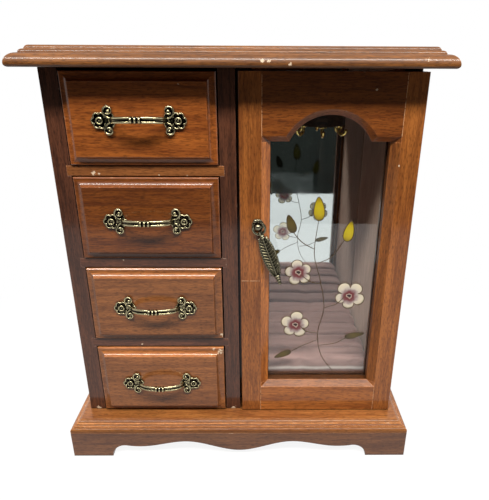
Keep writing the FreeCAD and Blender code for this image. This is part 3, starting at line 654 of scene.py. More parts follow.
def sweep(mesh, path, radii, sides=bar_sides, closed=False):
    """A round bar along a path, with pointed ends where it isn't closed."""
    path = [Vector(point) for point in path]
    count = len(path)
    if not hasattr(radii, "__len__"):
        radii = [radii] * count
    points = []
    guide = first_guide
    for index, centre in enumerate(path):
        before = path[(index - 1) % count] if closed or index else path[index]
        after = path[(index + 1) % count] if closed or index < count - 1 else path[index]
        along = (after - before).normalized()
        side = along.cross(guide)
        if side.length < least_side:
            side = along.cross(second_guide)
        side.normalize()
        guide = side.cross(along).normalized()
        for step in range(sides):
            angle = full_turn * step / sides
            points.append(centre + (side * math.cos(angle) + guide * math.sin(angle)) * radii[index])
    faces = grid_faces(count, sides, wrap_rows=closed, wrap_columns=True)
    if not closed:
        tips = [
            path[0] - (path[1] - path[0]).normalized() * radii[0] * cap_share,
            path[-1] + (path[-1] - path[-2]).normalized() * radii[-1] * cap_share,
        ]
        close_ends(points, faces, tips, sides)
    mesh.add(points, faces)


def close_ends(points, faces, tips, segments, flip=False):
    """Fans from two tips to the first and last of the rings of points."""
    last_row = len(points) // segments - 1
    for row, point in zip((0, last_row), tips):
        tip = len(points)
        points.append(point)
        for step in range(segments):
            edge = [row * segments + step, row * segments + (step + 1) % segments]
            faces.append([tip] + (edge if (row == 0) == flip else edge[::-1]))


def turned(mesh, profile, axis, across, segments, centre=Vector((0, 0, 0))):
    """A form turned about an axis. The profile holds radius and place along the axis."""
    other = axis.cross(across).normalized()
    points = []
    for radius, place in profile:
        for step in range(segments):
            angle = full_turn * step / segments
            offset = across * math.cos(angle) + other * math.sin(angle)
            points.append(centre + axis * place + offset * radius)
    faces = grid_faces(len(profile), segments, wrap_columns=True)
    tips = [centre + axis * profile[0][1], centre + axis * profile[-1][1]]
    close_ends(points, faces, tips, segments)
    mesh.add(points, faces)


def ball(mesh, centre, sizes, grain=plain_ball, turn=None):
    """A rounded drop, wider or flatter by its three half sizes."""
    rings, segments = grain
    turn = turn or Matrix.Identity(3)
    points = []
    for ring in range(1, rings):
        angle = math.pi * ring / rings
        for step in range(segments):
            around = full_turn * step / segments
            local = Vector((
                sizes[0] * math.sin(angle) * math.cos(around),
                sizes[1] * math.sin(angle) * math.sin(around),
                sizes[2] * math.cos(angle),
            ))
            points.append(centre + turn @ local)
    faces = grid_faces(rings - 1, segments, wrap_columns=True)
    tips = [centre + turn @ (Z * sizes[2]), centre - turn @ (Z * sizes[2])]
    close_ends(points, faces, tips, segments, flip=True)
    mesh.add(points, faces)


def circle_points(centre, radius, first, second, count, start=0.0, turn=full_turn, closed=True):
    """Points on a circle, or on a part of one."""
    points = []
    steps = count if closed else count - 1
    for index in range(count):
        angle = start + turn * index / steps
        points.append(centre + first * (radius * math.cos(angle)) + second * (radius * math.sin(angle)))
    return points


def hoop(mesh, centre, radius, first, second, steps, wire, sides):
    """A closed ring of round wire."""
    sweep(mesh, circle_points(centre, radius, first, second, steps), wire, sides, closed=True)


def cast(mesh, name, voxel, relax):
    """Melts overlapping forms into one closed skin, as a casting has."""
    rough = bpy.data.objects.new(name + "_rough", mesh.data(name + "_rough"))
    bpy.context.collection.objects.link(rough)
    remesh = rough.modifiers.new("melt", "REMESH")
    remesh.mode = "VOXEL"
    remesh.voxel_size = voxel
    smooth = rough.modifiers.new("relax", "SMOOTH")
    smooth.iterations = relax
    smooth.factor = melt_factor
    graph = bpy.context.evaluated_depsgraph_get()
    skin = bpy.data.meshes.new_from_object(rough.evaluated_get(graph))
    skin.name = name
    bpy.data.objects.remove(rough)
    return skin


# Material helpers

class Nodes:
    """Shorthand for building the node tree of a material or of the world."""

    def __init__(self, name, world=False):
        self.owner = bpy.data.worlds.new(name) if world else bpy.data.materials.new(name)
        self.owner.use_nodes = True
        self.tree = self.owner.node_tree
        self.tree.nodes.clear()
        self.output = self.node("OutputWorld" if world else "OutputMaterial")

    def node(self, kind, **settings):
        made = self.tree.nodes.new("ShaderNode" + kind)
        for key, value in settings.items():
            setattr(made, key, value)
        return made

    def value(self, socket, given):
        """Links a socket, or sets it where the value is plain."""
        if isinstance(given, bpy.types.NodeSocket):
            self.tree.links.new(given, socket)
        else:
            socket.default_value = given

    def part(self, kind, sockets, output, **settings):
        """A node with its sockets given, and one of its outputs."""
        made = self.node(kind, **settings)
        for key, given in sockets.items():
            self.value(made.inputs[key], given)
        return made.outputs[output]

    def coordinates(self, kind):
        return self.node("TexCoord").outputs[kind]

    def pattern(self, kind, grain="Z", shift=(0, 0, 0)):
        """Noise in object coordinates, its grain along one axis."""
        fineness, detail, rough, distortion = patterns[kind]
        scale = list(fineness)
        along = "XYZ".index(grain)
        scale[along], scale[2] = scale[2], scale[along]
        place = {"Vector": self.coordinates("Object"), "Scale": scale, "Location": shift}
        return self.part("TexNoise", {
            "Vector": self.part("Mapping", place, "Vector"),
            "Scale": 1.0, "Detail": detail, "Roughness": rough, "Distortion": distortion,
        }, "Fac")

    def ramp(self, source, places, colours):
        made = self.node("ValToRGB")
        elements = made.color_ramp.elements
        while len(elements) < len(places):
            elements.new(0.5)
        for element, place, colour in zip(elements, places, colours):
            element.position = place
            element.color = colour if hasattr(colour, "__len__") else (colour, colour, colour, 1.0)
        self.value(made.inputs["Fac"], source)
        return made.outputs["Color"]

    def span(self, source, given, wanted):
        """Maps one range on another, and holds it there."""
        return self.part("MapRange", {
            "Value": source,
            "From Min": given[0], "From Max": given[1], "To Min": wanted[0], "To Max": wanted[1],
        }, "Result")

    def math(self, operation, first, second=0.0):
        return self.part("Math", {0: first, 1: second}, "Value", operation=operation)

    def times(self, first, second):
        return self.math("MULTIPLY", first, second)

    def vector_math(self, operation, first, second=(0, 0, 0)):
        return self.part("VectorMath", {0: first, 1: second}, "Value", operation=operation)

    def mix(self, share, first, second, blend="MIX"):
        made = self.node("Mix", data_type="RGBA", blend_type=blend)
        self.value(made.inputs["Factor"], share)
        sockets = [socket for socket in made.inputs if socket.type == "RGBA"]
        self.value(sockets[0], first)
        self.value(sockets[1], second)
        return [socket for socket in made.outputs if socket.type == "RGBA"][0]

    def shade(self, colour, level):
        return self.mix(1.0, colour, level, "MULTIPLY")

    def bump(self, height, distance, strength, before=None):
        sockets = {"Strength": strength, "Distance": distance, "Height": height}
        if before is not None:
            sockets["Normal"] = before
        return self.part("Bump", sockets, "Normal")

    def shader(self, kind, **sockets):
        given = {key.replace("_", " "): value for key, value in sockets.items()}
        return self.part(kind, given, 0)

    def surface(self, **sockets):
        return self.shader("BsdfPrincipled", **sockets)

    def blend(self, share, first, second):
        """A mix of two shaders."""
        return self.part("MixShader", {0: share, 1: first, 2: second}, 0)

    def any_ray(self, *kinds):
        """One for rays of the given kinds, zero for others."""
        light_path = self.node("LightPath")
        share = light_path.outputs[kinds[0]]
        for kind in kinds[1:]:
            share = self.math("MAXIMUM", share, light_path.outputs[kind])
        return share

    def open_air(self, reach, rays):
        return self.part("AmbientOcclusion", {"Distance": reach}, "AO", samples=rays)

    def finish(self, shader):
        self.value(self.output.inputs["Surface"], shader)
        return self.owner


# Materials

def chip_mask(look, middle, radius, ragged):
    """One inside a small ragged patch about a point, zero outside it."""
    away = look.vector_math("DISTANCE", look.coordinates("Object"), middle)
    uneven = look.math("ADD", away, look.span(ragged, noise_range, (-radius, radius)))
    return look.span(uneven, [radius * share for share in wood_chip_rim_shares], (1.0, 0.0))


def wood(name, tones, grain, shade, shift, worn, rough, coat, chips=(), slopes=()):
    """Lacquered straight-grained wood with short pores, soft figure and worn edges, whose paler rubbing is
    partly a painted highlight; with painted shade in hollows and painted light and shade on slopes.
    """
    pale, deep = [screen(tone) for tone in tones]
    offset = [shift * share for share in wood_shift_shares]
    look = Nodes(name)
    fibre = look.pattern("fibre", grain, offset)
    figure = look.pattern("figure", grain, offset)
    drawn = look.math("ADD", look.times(fibre, wood_fibre_share), look.times(figure, 1 - wood_fibre_share))
    colour = look.ramp(drawn, wood_tone_places, (deep, pale))
    pores = look.ramp(look.pattern("pores", grain, offset), wood_pore_places, (1.0, 0.0))
    colour = look.mix(look.times(pores, wood_pore_share), colour, scaled(deep, wood_pore_tone_share))
    clouds = [share * shade for share in wood_cloud_shares]
    colour = look.shade(colour, look.span(look.pattern("cloud", shift=offset), broad_range, clouds))

    gloss = coat
    # Painted light and shade: a slope facing the given way is darkened or lightened by its factor, and its
    # lacquer dulled where darker
    for direction, least, factor in slopes:
        facing = look.vector_math("DOT_PRODUCT", look.coordinates("Normal"), direction)
        slope_shade = look.span(facing, (least, least + slope_fade), (1.0, factor))
        colour = look.shade(colour, slope_shade)
        dulled = min(1.0, factor) ** slope_gloss_power
        gloss = look.times(gloss, look.span(slope_shade, (factor, 1.0), (dulled, 1.0)))

    rounded = look.part("Bevel", {"Radius": wood_arris}, "Normal", samples=wood_rays)
    facing = look.vector_math("DOT_PRODUCT", rounded, look.node("NewGeometry").outputs["Normal"])
    open_air = look.open_air(wood_open_reach, wood_rays)
    edge = look.times(
        look.span(facing, wood_arris_range, whole_range),
        look.span(open_air, wood_open_range, whole_range),
    )
    rub = look.pattern("rub", shift=offset)
    rubbed = look.times(look.span(rub, wood_rub_range, wood_rub_shares), worn)
    # Edges rubbed paler as wear; on the boards worn more this also serves as a painted highlight line
    colour = look.mix(look.times(edge, rubbed), colour, scaled(pale, wood_bare_factor, wood_bare_lift))
    chipped = look.times(edge, look.ramp(rub, wood_chip_places, whole_range))
    ragged = look.pattern("ragged", shift=offset)
    for middle, radius in chips:
        mask = chip_mask(look, Vector(middle) * MM, radius * wood_chip_share * MM, ragged)
        chipped = look.math("MAXIMUM", chipped, mask)
    chipped = look.times(chipped, min(1.0, worn * wood_chip_factor))
    colour = look.mix(chipped, colour, screen(fleck_tone))
    # Painted shade: darker in hollows, corners and gaps, where the surface is closed in
    colour = look.shade(colour, look.span(open_air, wood_hollow_shade_range, wood_hollow_shade_shares))

    roughness = look.span(look.pattern("haze", shift=offset), noise_range,
                          [rough + step for step in wood_rough_spread])
    relief = look.math("SUBTRACT", fibre, look.times(pores, wood_pore_relief))
    normal = look.bump(relief, wood_bump_height, strength=0.22, before=rounded)
    return look.finish(look.surface(
        Base_Color=colour, Roughness=roughness, Normal=normal,
        Coat_Weight=gloss, Coat_Roughness=0.1, Specular_IOR_Level=0.2,
    ))


def velvet(name, tones, shift=0.0, highlight_level=None):
    """Short pile, brushed a little unevenly; at the level given last, a painted highlight line runs across
    the front faces, with painted shade below it.
    """
    pale, deep = [screen(tone) for tone in tones]
    look = Nodes(name)
    nap = look.pattern("nap")
    brushed = look.pattern("brushed", shift=(shift, shift, shift))
    pile = look.math("ADD", look.times(nap, velvet_nap_share), look.times(brushed, 1 - velvet_nap_share))
    tint = look.ramp(pile, velvet_tone_places, (deep, pale))
    if highlight_level is not None:
        # Painted shade on the front faces below the level, and a painted highlight line along it
        level = look.part("SeparateXYZ", {0: look.coordinates("Object")}, "Z")
        facing = look.part("SeparateXYZ", {0: look.coordinates("Normal")}, "Y")
        forward = look.span(facing, pad_front_facing, whole_range)
        below = look.span(level, (highlight_level - pad_shadow_depth, highlight_level), (pad_shadow_level, 1.0))
        shadow = look.times(forward, look.math("SUBTRACT", 1.0, below))
        tint = look.mix(shadow, tint, screen(painted_shadow_tone))
        away = look.math("ABSOLUTE", look.math("SUBTRACT", level, highlight_level))
        shine = look.times(look.span(away, pad_highlight_width, (pad_highlight_share, 0.0)), forward)
        tint = look.mix(shine, tint, screen(painted_highlight_tone))
    return look.finish(look.surface(
        Base_Color=tint, Roughness=0.92, Normal=look.bump(nap, velvet_bump_height, strength=0.35),
        Sheen_Weight=0.5, Sheen_Roughness=0.45,
        Sheen_Tint=screen(velvet_sheen_tone), Specular_IOR_Level=0.15,
    ))


def metal(look, colour, texture, roughs, relief):
    """Finishes a metal whose gloss and relief follow one texture."""
    return look.finish(look.surface(
        Base_Color=colour, Metallic=1.0, Roughness=look.span(texture, noise_range, roughs),
        Normal=look.bump(texture, metal_bump_height, relief),
    ))


def antique_brass(name, crest):
    """Cast brass, blackened in its hollows and rubbed bright on its crowns."""
    look = Nodes(name)
    crown = look.node("NewGeometry").outputs["Pointiness"]
    grime = look.pattern("grime")
    height = look.math("ADD", look.open_air(brass_reach, brass_rays),
                       look.span(crown, brass_crown_range, brass_crown_lift))
    height = look.math("ADD", height, look.span(grime, noise_range, brass_grime_lift))
    places, tones = zip(*brass_tones, (1.0, crest))
    colour = look.ramp(height, places, [screen(tone) for tone in tones])
    return metal(look, colour, grime, brass_rough, brass_bump)


def plain_metal(name, texture, tone, roughs):
    """Polished or drawn metal with a faint mottle."""
    look = Nodes(name)
    colour = screen(tone)
    mottle = look.pattern(texture)
    tint = look.ramp(mottle, metal_tone_places, (scaled(colour, metal_dark_share), colour))
    return metal(look, tint, mottle, roughs, metal_bump)


def mirror_glass(name):
    """Silvered glass with dust specks and faint smears."""
    look = Nodes(name)
    smear = look.span(look.pattern("mirror_smear"), mirror_smear_range, mirror_smear_rough)
    specks = look.ramp(look.pattern("specks"), mirror_speck_places, whole_range)
    roughness = look.math("ADD", smear, look.times(specks, mirror_speck_rough))
    tint = look.mix(specks, *[screen(tone) for tone in mirror_tones])
    return look.finish(look.surface(Base_Color=tint, Metallic=1.0, Roughness=roughness))


def window_glass(name):
    """Thin clear glass that lets lamps and soft light through."""
    look = Nodes(name)
    smear = look.span(look.pattern("glass_smear"), glass_smear_range, glass_smear_rough)
    glass = look.surface(
        Base_Color=screen(glass_tone), Roughness=smear, IOR=1.45,
        Transmission_Weight=1.0, Specular_IOR_Level=0.2,
    )
    clear = look.shader("BsdfTransparent", Color=screen(glass_clear_tone))
    return look.finish(look.blend(look.any_ray("Is Shadow Ray", "Is Diffuse Ray"), glass, clear))


def enamel(name, radius, stops):
    """Thin paint whose colour runs from a piece's middle out, clear to the mirror."""
    look = Nodes(name)
    marks = look.pattern("brush_marks")
    away = look.vector_math("LENGTH", look.coordinates("Object"))
    outward = look.math("DIVIDE", away, radius)
    share = look.math("ADD", outward, look.span(marks, noise_range, paint_uneven))
    places, tones = zip(*stops)
    colour = look.ramp(share, places, [screen(tone) for tone in tones])
    thick = look.surface(
        Base_Color=colour, Roughness=look.span(marks, noise_range, paint_rough),
        Normal=look.bump(marks, paint_bump_height, strength=0.3),
        Coat_Weight=0.4, Coat_Roughness=0.15,
    )
    thin = look.blend(paint_thin_share, thick, look.shader("BsdfTranslucent", Color=colour))
    # A ray crosses the front and the back of a patch, so each takes the root of the colour.
    root = look.part("Gamma", {"Color": colour, "Gamma": 1 / paint_layers}, "Color")
    film = look.span(look.any_ray("Is Glossy Ray"), whole_range, paint_film_shares)
    return look.finish(look.blend(film, thin, look.shader("BsdfTransparent", Color=root)))


def broken_lacquer(name):
    """Pale lacquer that shows only in dashes: clear between them."""
    look = Nodes(name)
    places = (1 - line_cover - line_fade, 1 - line_cover + line_fade)
    shown = look.ramp(look.pattern("dashes"), places, whole_range)
    pale = look.surface(Base_Color=screen(line_tone), Roughness=0.6)
    return look.finish(look.blend(shown, look.shader("BsdfTransparent"), pale))


def dress(material, *nodes):
    """Gives every slot of some solids the same material."""
    for node in nodes:
        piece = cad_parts[node]
        if not piece.data.materials:
            piece.data.materials.append(material)
        for material_slot in piece.material_slots:
            material_slot.material = material


for number in drawers:
    bare_boards["drawer_%d_walls" % number] = "X"
    bare_boards["drawer_%d_bottom" % number] = "X"
for index, (node, (tones, grain, shade)) in enumerate(sorted(wood_boards.items())):
    dress(wood("wood_" + node, wood_tones[tones], grain, shade, wood_board_shift * index,
               worn_highlit_boards.get(node, wood_worn), wood_rough, dull_boards.get(node, wood_coat),
               board_chips.get(node, ()), slope_shading.get(node, ())), node)
for index, (node, grain) in enumerate(sorted(bare_boards.items())):
    dress(wood("timber_" + node, wood_tones["bare"], grain, 1.0, timber_shift * index,
               timber_worn, timber_rough, timber_coat), node)

brass = antique_brass("antique_brass", pull_crest_tone)
dark_brass = antique_brass("dark_brass", drop_crest_tone)
bright_brass = plain_metal("bright_brass", "mottle", bright_brass_tone, bright_brass_rough)
lining_velvet = velvet("lining_velvet", lining_tones)
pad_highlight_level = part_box("ring_pad")[0].z + pad_highlight_height
pad_velvet = velvet("pad_velvet", pad_tones, pad_shift, pad_highlight_level)
dress(bright_brass, "hinge_case_leaves", "hinge_door_leaves", "hinge_pins")
dress(plain_metal("steel", "drawn", steel_tone, steel_rough), "catch_magnets", "strike_plates")
dress(mirror_glass("mirror"), "mirror")
dress(window_glass("glass"), "door_glass")


# Cast drawer pulls

def bezier(controls, steps):
    """Points on a cubic curve, without its last point."""
    points = []
    for step in range(steps):
        share = step / steps
        rest = 1 - share
        weights = (rest ** 3, 3 * rest * rest * share, 3 * rest * share * share, share ** 3)
        parts = [control * weight for weight, control in zip(weights, controls)]
        points.append(sum(parts, Vector((0, 0, 0))))
    return points


def scroll(mesh, side, rise):
    """A wire that leaves the bow's root and rolls up round a ball."""
    radius = pull_upper_scroll if rise > 0 else pull_lower_scroll
    centre = Vector((side * (pull_spread / 2 - pull_scroll_inset), 0, rise * pull_scroll_rise))
    across = Vector((-side, 0, 0))
    up = Vector((0, 0, rise))
    start = pull_scroll_start
    joint = centre + across * (radius * math.cos(start)) + up * (radius * math.sin(start))
    leave = across * math.sin(start) - up * math.cos(start)
    root = Vector((side * pull_bow_half, 0, rise * pull_bow_edge))
    controls = [root, root - across * pull_upper_scroll, joint - leave * pull_upper_scroll, joint]
    path = bezier(controls, pull_scroll_lead_steps)
    depths = [pull_root_depth] * len(path)
    for step in range(pull_scroll_steps + 1):
        share = step / pull_scroll_steps
        angle = start - pull_scroll_turn * share
        reach = radius * (1 - pull_scroll_tighten_share * share * share)
        path.append(centre + across * (reach * math.cos(angle)) + up * (reach * math.sin(angle)))
        depths.append(pull_root_depth * (1 + pull_scroll_lift_share * share))
    for point, depth in zip(path, depths):
        point.y = -depth
    sweep(mesh, path, pull_scroll_wire, wire_sides)
    swell = pull_scroll_ball if rise > 0 else pull_scroll_ball * pull_lower_ball_share
    lift = Y * (pull_root_depth * pull_ball_lift_share)
    ball(mesh, centre + across * (radius * pull_ball_inset_share) - lift, (swell, swell, swell))
    ball(mesh, centre - Y * (pull_plate / 2), (radius, pull_plate, radius))


def rose(mesh, side):
    """A seed in a ring on a dished plate whose rim runs in scallops."""
    centre = Vector((side * pull_spread / 2, 0, 0))
    plate = Y * (pull_plate / 2)
    raised = centre - Y * pull_rose_depth
    hoop(mesh, raised, pull_rose_radius, X, Z, pull_rose_steps, pull_rose_wire, wire_sides)
    ball(mesh, centre - Y * (pull_rose_depth / 2), (pull_rose_radius, pull_plate, pull_rose_radius))
    ball(mesh, centre - Y * (pull_rose_depth * pull_seed_share), (pull_seed_radius,) * 3, seed_ball)
    for index in range(pull_lobes):
        angle = pull_lobe_spread * (index / (pull_lobes - 1) - 0.5)
        outward = X * (side * math.cos(angle)) + Z * math.sin(angle)
        sideways = outward.cross(Y)
        place = centre + outward * pull_lobe_place
        lobe = circle_points(place - Y * pull_root_depth, pull_lobe_radius, outward, sideways,
                             pull_lobe_steps, pull_lobe_start, -2 * pull_lobe_start, closed=False)
        sweep(mesh, lobe, pull_lobe_wire, strand_sides)
        turn = Matrix((outward, Y, sideways)).transposed()
        ball(mesh, place - plate, (pull_lobe_radius, pull_plate / 2, pull_lobe_radius), thin_ball, turn)
    backing = pull_lobe_place + pull_lobe_radius / 2
    ball(mesh, centre - plate, (backing, pull_plate / 2, backing))
    inner = X * (side * (pull_spread / 2 - pull_scroll_inset))
    lengths = (pull_scroll_inset, pull_plate, pull_scroll_rise)
    ball(mesh, inner - plate, [length * share for length, share in zip(lengths, pull_backing_shares)])


def bow(mesh):
    """Two stout wires side by side with a groove between and collars at its middle."""
    core = []
    edges = {-1: [], 1: []}
    for step in range(pull_bow_steps + 1):
        angle = math.pi * (1 - step / pull_bow_steps)
        x = pull_bow_half * plumped(math.cos(angle), pull_bow_power)
        out = plumped(math.sin(angle), pull_bow_power)
        y = -pull_root_depth - (pull_bow_reach - pull_root_depth) * out
        level = pull_bow_rise * out
        core.append(Vector((x, min(-pull_root_depth, y + pull_groove), level)))
        for rise in edges:
            edges[rise].append(Vector((x, y, level + rise * pull_bow_edge)))
    sweep(mesh, core, pull_bow_core, stout_sides)
    for edge in edges.values():
        sweep(mesh, edge, pull_edge_wire, wire_sides)
    for index in range(pull_collars):
        place = index - (pull_collars - 1) / 2
        centre = Vector((place * pull_collar_pitch, -pull_bow_reach, pull_bow_rise))
        hoop(mesh, centre, pull_collar_radius, Y, Z, pull_collar_steps, pull_collar_bead, wire_sides)
    for side in (-1, 1):
        root = Vector((side * pull_bow_half, -pull_root_depth / 2, 0))
        ball(mesh, root, (pull_scroll_inset / 2, pull_root_depth, pull_bow_edge + pull_edge_wire))


pull_form = Mesh()
for side in (-1, 1):
    rose(pull_form, side)
    for rise in (-1, 1):
        scroll(pull_form, side, rise)
bow(pull_form)
pull_mesh = cast(pull_form, "pull_casting", pull_voxel, pull_relax)
for number in drawers:
    node = "drawer_%d_pull" % number
    low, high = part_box(node)
    piece = make_object("cast_pull_%d" % number, pull_mesh, "drawer_%d" % number, brass)
    piece.location = Vector(((low.x + high.x) / 2, high.y, (low.z + high.z) / 2))
    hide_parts(node)


# Drop pull and its post

def drop_line(*levels):
    """Points on the line that runs down the pull's middle."""
    return [Vector((0, -drop_depth, level)) for level in levels]


def rope(mesh, path, handed):
    """Two strands twisted round each other along a path."""
    last = len(path) - 1
    for strand in (0, math.pi):
        points = []
        for index, centre in enumerate(path):
            along = (path[min(last, index + 1)] - path[max(0, index - 1)]).normalized()
            side = along.cross(Y).normalized()
            phase = handed * full_turn * drop_rope_turns * index / last + strand
            offset = side * math.cos(phase) + Y * math.sin(phase)
            points.append(centre + offset * drop_rope_offset)
        sweep(mesh, points, drop_rope_strand, strand_sides)


def leaf_edge(share):
    """Half width and level of the leaf at a share of its length."""
    first, last = drop_swell_shares
    swell = math.sin(math.pi * (first + (last - first) * share)) ** drop_swell_power
    half = drop_neck_half + (drop_half_width - drop_neck_half) * swell
    top = -drop_neck_start - drop_leaf_start
    return half, top - (drop_body_end + top) * share


drop_form = Mesh()
ring_middle = Vector((0, -drop_depth, -drop_ring_sag))
hoop(drop_form, ring_middle, drop_ring_radius, X, Z, drop_ring_steps, drop_ring_bead, bar_sides)
ball(drop_form, drop_crest_place, drop_crest_size)
curl = circle_points(drop_curl_place, drop_curl_radius, X, Z, drop_curl_steps, drop_curl_start,
                     drop_curl_turn, closed=False)
sweep(drop_form, curl, drop_curl_wire, strand_sides)
sweep(drop_form, drop_line(-drop_ring_radius, -drop_neck_start - drop_neck_length), drop_neck_radius)
for start, rings in ((drop_neck_start, drop_neck_rings), (drop_body_end, drop_tip_rings)):
    for place, radius, wire in rings:
        centre = drop_line(-start - place * MM)[0]
        hoop(drop_form, centre, radius * MM, X, Y, drop_small_ring_steps, wire * MM, strand_sides)
leaf_rows = [leaf_edge(index / drop_samples) for index in range(drop_samples + 1)]
for side in (-1, 1):
    rope(drop_form, [Vector((side * half, -drop_depth, level)) for half, level in leaf_rows], side)
panel_points = []
for face in (-1, 1):
    for half, level in leaf_rows:
        for column in range(drop_panel_columns):
            share = 2 * column / (drop_panel_columns - 1) - 1
            depth = face * drop_panel_thickness / 2 - drop_depth
            panel_points.append(Vector((half * share, depth, level)))
drop_form.add(panel_points, slab_faces(drop_samples + 1, drop_panel_columns))
ridge = [Vector((0, -drop_depth - drop_ridge_lift, level)) for half, level in leaf_rows]
sweep(drop_form, ridge[drop_ridge_inset:-drop_ridge_inset - 1], drop_ridge_radius, wire_sides)
first, last = drop_barb_shares
for index in range(drop_barbs):
    share = first + (last - first) * index / (drop_barbs - 1)
    half, level = leaf_edge(share - drop_barb_slant_share)
    start = Vector((0, -drop_depth - drop_barb_lift, leaf_edge(share)[1]))
    for side in (-1, 1):
        end = Vector((side * half * drop_barb_reach_share, start.y, level))
        sweep(drop_form, [start, end], drop_barb_radius, stroke_sides)
tip_bar = drop_line(-drop_body_end + drop_tip_bar_start, -drop_length + drop_tip_bar_end)
sweep(drop_form, tip_bar, drop_tip_bar)
ball(drop_form, drop_line(-drop_length + drop_tip_size.z)[0], drop_tip_size)
drop_form.place(Matrix.Rotation(-drop_tilt, 4, "Y"))
low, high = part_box("pull_post")
post_middle = (low + high) / 2
pendant_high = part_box("pull_pendant")[1].y
drop_mesh = cast(drop_form, "drop_casting", drop_voxel, drop_relax)
pendant = make_object("drop_pull", drop_mesh, "door_pull", dark_brass)
pendant.location = Vector((post_middle.x, pendant_high, post_middle.z))
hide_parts("pull_pendant")

post_reach = high.y - low.y
head_back = post_reach - post_head_length
post_profile = [(point_radius, 0)]
post_profile += stretched(post_flange_shares, post_flange_radius, post_flange_thickness)
post_profile += [(post_neck_radius, post_flange_thickness), (post_neck_radius, head_back - post_shoulder)]
post_profile += stretched(post_head_shares, post_head_radius, post_head_length, head_back)
post_profile.append((point_radius, post_reach))
post_form = Mesh()
turned(post_form, post_profile, -Y, X, post_segments)
post = make_object("knob_post", post_form, "door", dark_brass)
post.location = Vector((post_middle.x, high.y, post_middle.z))
soften(post)
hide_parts("pull_post")


# Necklace hooks under the turning disc

disc_low, disc_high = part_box("carousel_disc")
disc_foot = (disc_low + disc_high) / 2
disc_foot.z = disc_low.z
flange = [(point_radius, 0)]
flange += stretched(hook_flange_shares, hook_flange_radius, hook_flange_thickness)
flange.append((point_radius, hook_flange_thickness))
hooks_form = Mesh()
for index in range(hook_count):
    angle = full_turn * (index + 0.5) / hook_count
    outward = Vector((math.cos(angle), math.sin(angle), 0))
    foot = disc_foot + outward * hook_circle_radius
    path = [foot + Z * (hook_sink * share) for share in hook_sink_shares]
    path += [foot - Z * (hook_stem * share) for share in hook_stem_shares]
    bend = foot - Z * hook_stem + outward * hook_loop_radius
    path += circle_points(bend, hook_loop_radius, outward, Z, hook_loop_steps, hook_loop_start,
                          hook_loop_turn, closed=False)
    sweep(hooks_form, path, hook_wire_radius)
    ball(hooks_form, path[-1], (hook_wire_radius * hook_ball_share,) * 3)
    turned(hooks_form, flange, -Z, X, hook_segments, foot)
hooks = make_object("cup_hooks", hooks_form, "carousel", bright_brass)
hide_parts("carousel_hooks")


# Velvet panels

def velvet_panel(name, node, body, face, edge):
    """A soft panel in a lining's place, plump in the middle and thin at its rim."""
    low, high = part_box(node)
    size = high - low
    thin = min(range(3), key=lambda index: size[index])
    first, second = [index for index in range(3) if index != thin]
    columns = max(velvet_least_cells, int(size[first] / velvet_cell))
    rows = max(velvet_least_cells, int(size[second] / velvet_cell))
    points = []
    for layer in (0, 1):
        for row in range(rows + 1):
            for column in range(columns + 1):
                along = size[first] * column / columns
                up = size[second] * row / rows
                rim = min(along, up, size[first] - along, size[second] - up)
                plump = 1 - (1 - velvet_rim_share) * max(0.0, 1 - rim / edge) ** 2
                spot = Vector((along, up, size[thin] * velvet_layer_step + layer))
                wave = noise.noise(spot * velvet_wave_fineness) * velvet_wave
                height = size[thin] * plump - abs(wave) if layer else 0.0
                place = low.copy()
                place[first] += along
                place[second] += up
                place[thin] = low[thin] + height if face > 0 else high[thin] - height
                points.append(place)
    form = Mesh()
    form.add(points, slab_faces(rows + 1, columns + 1))
    panel = make_object(name, form, body, lining_velvet)
    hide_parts(node)


velvet_panel("left_wall_velvet", "left_wall_lining", "cabinet", 1, wall_velvet_rim)
velvet_panel("right_wall_velvet", "right_wall_lining", "cabinet", -1, wall_velvet_rim)
for number in drawers:
    drawer = "drawer_%d" % number
    velvet_panel(drawer + "_velvet", drawer + "_lining", drawer, 1, drawer_velvet_rim)


# Ring pad: rolls of foam under velvet, blown up as cloth

def roll_points(x_low, x_high, y_middle, z_low, half_width, height):
    """Rings of a long padded roll with a flat underside and closed ends."""
    points = []
    for index in range(pad_segments_along + 1):
        share = index / pad_segments_along
        rounded = math.sin(math.pi / 2 * min(share, 1 - share, pad_end_share) / pad_end_share)
        pinch = pad_pinch_share + (1 - pad_pinch_share) * rounded
        x = x_low + (x_high - x_low) * share
        for step in range(pad_segments_round):
            angle = full_turn * step / pad_segments_round
            across = plumped(math.sin(angle), pad_side_power) * half_width * pinch
            upward = max(0.0, pad_flat - math.cos(angle)) / (1 + pad_flat)
            level = height * pinch * upward ** pad_top_power
            points.append(Vector((x, y_middle + across, z_low + level)))
    faces = grid_faces(pad_segments_along + 1, pad_segments_round, wrap_columns=True)
    for base in (0, pad_segments_along * pad_segments_round):
        ring = list(range(base, base + pad_segments_round))
        faces.append(ring if base else ring[::-1])
    return points, faces


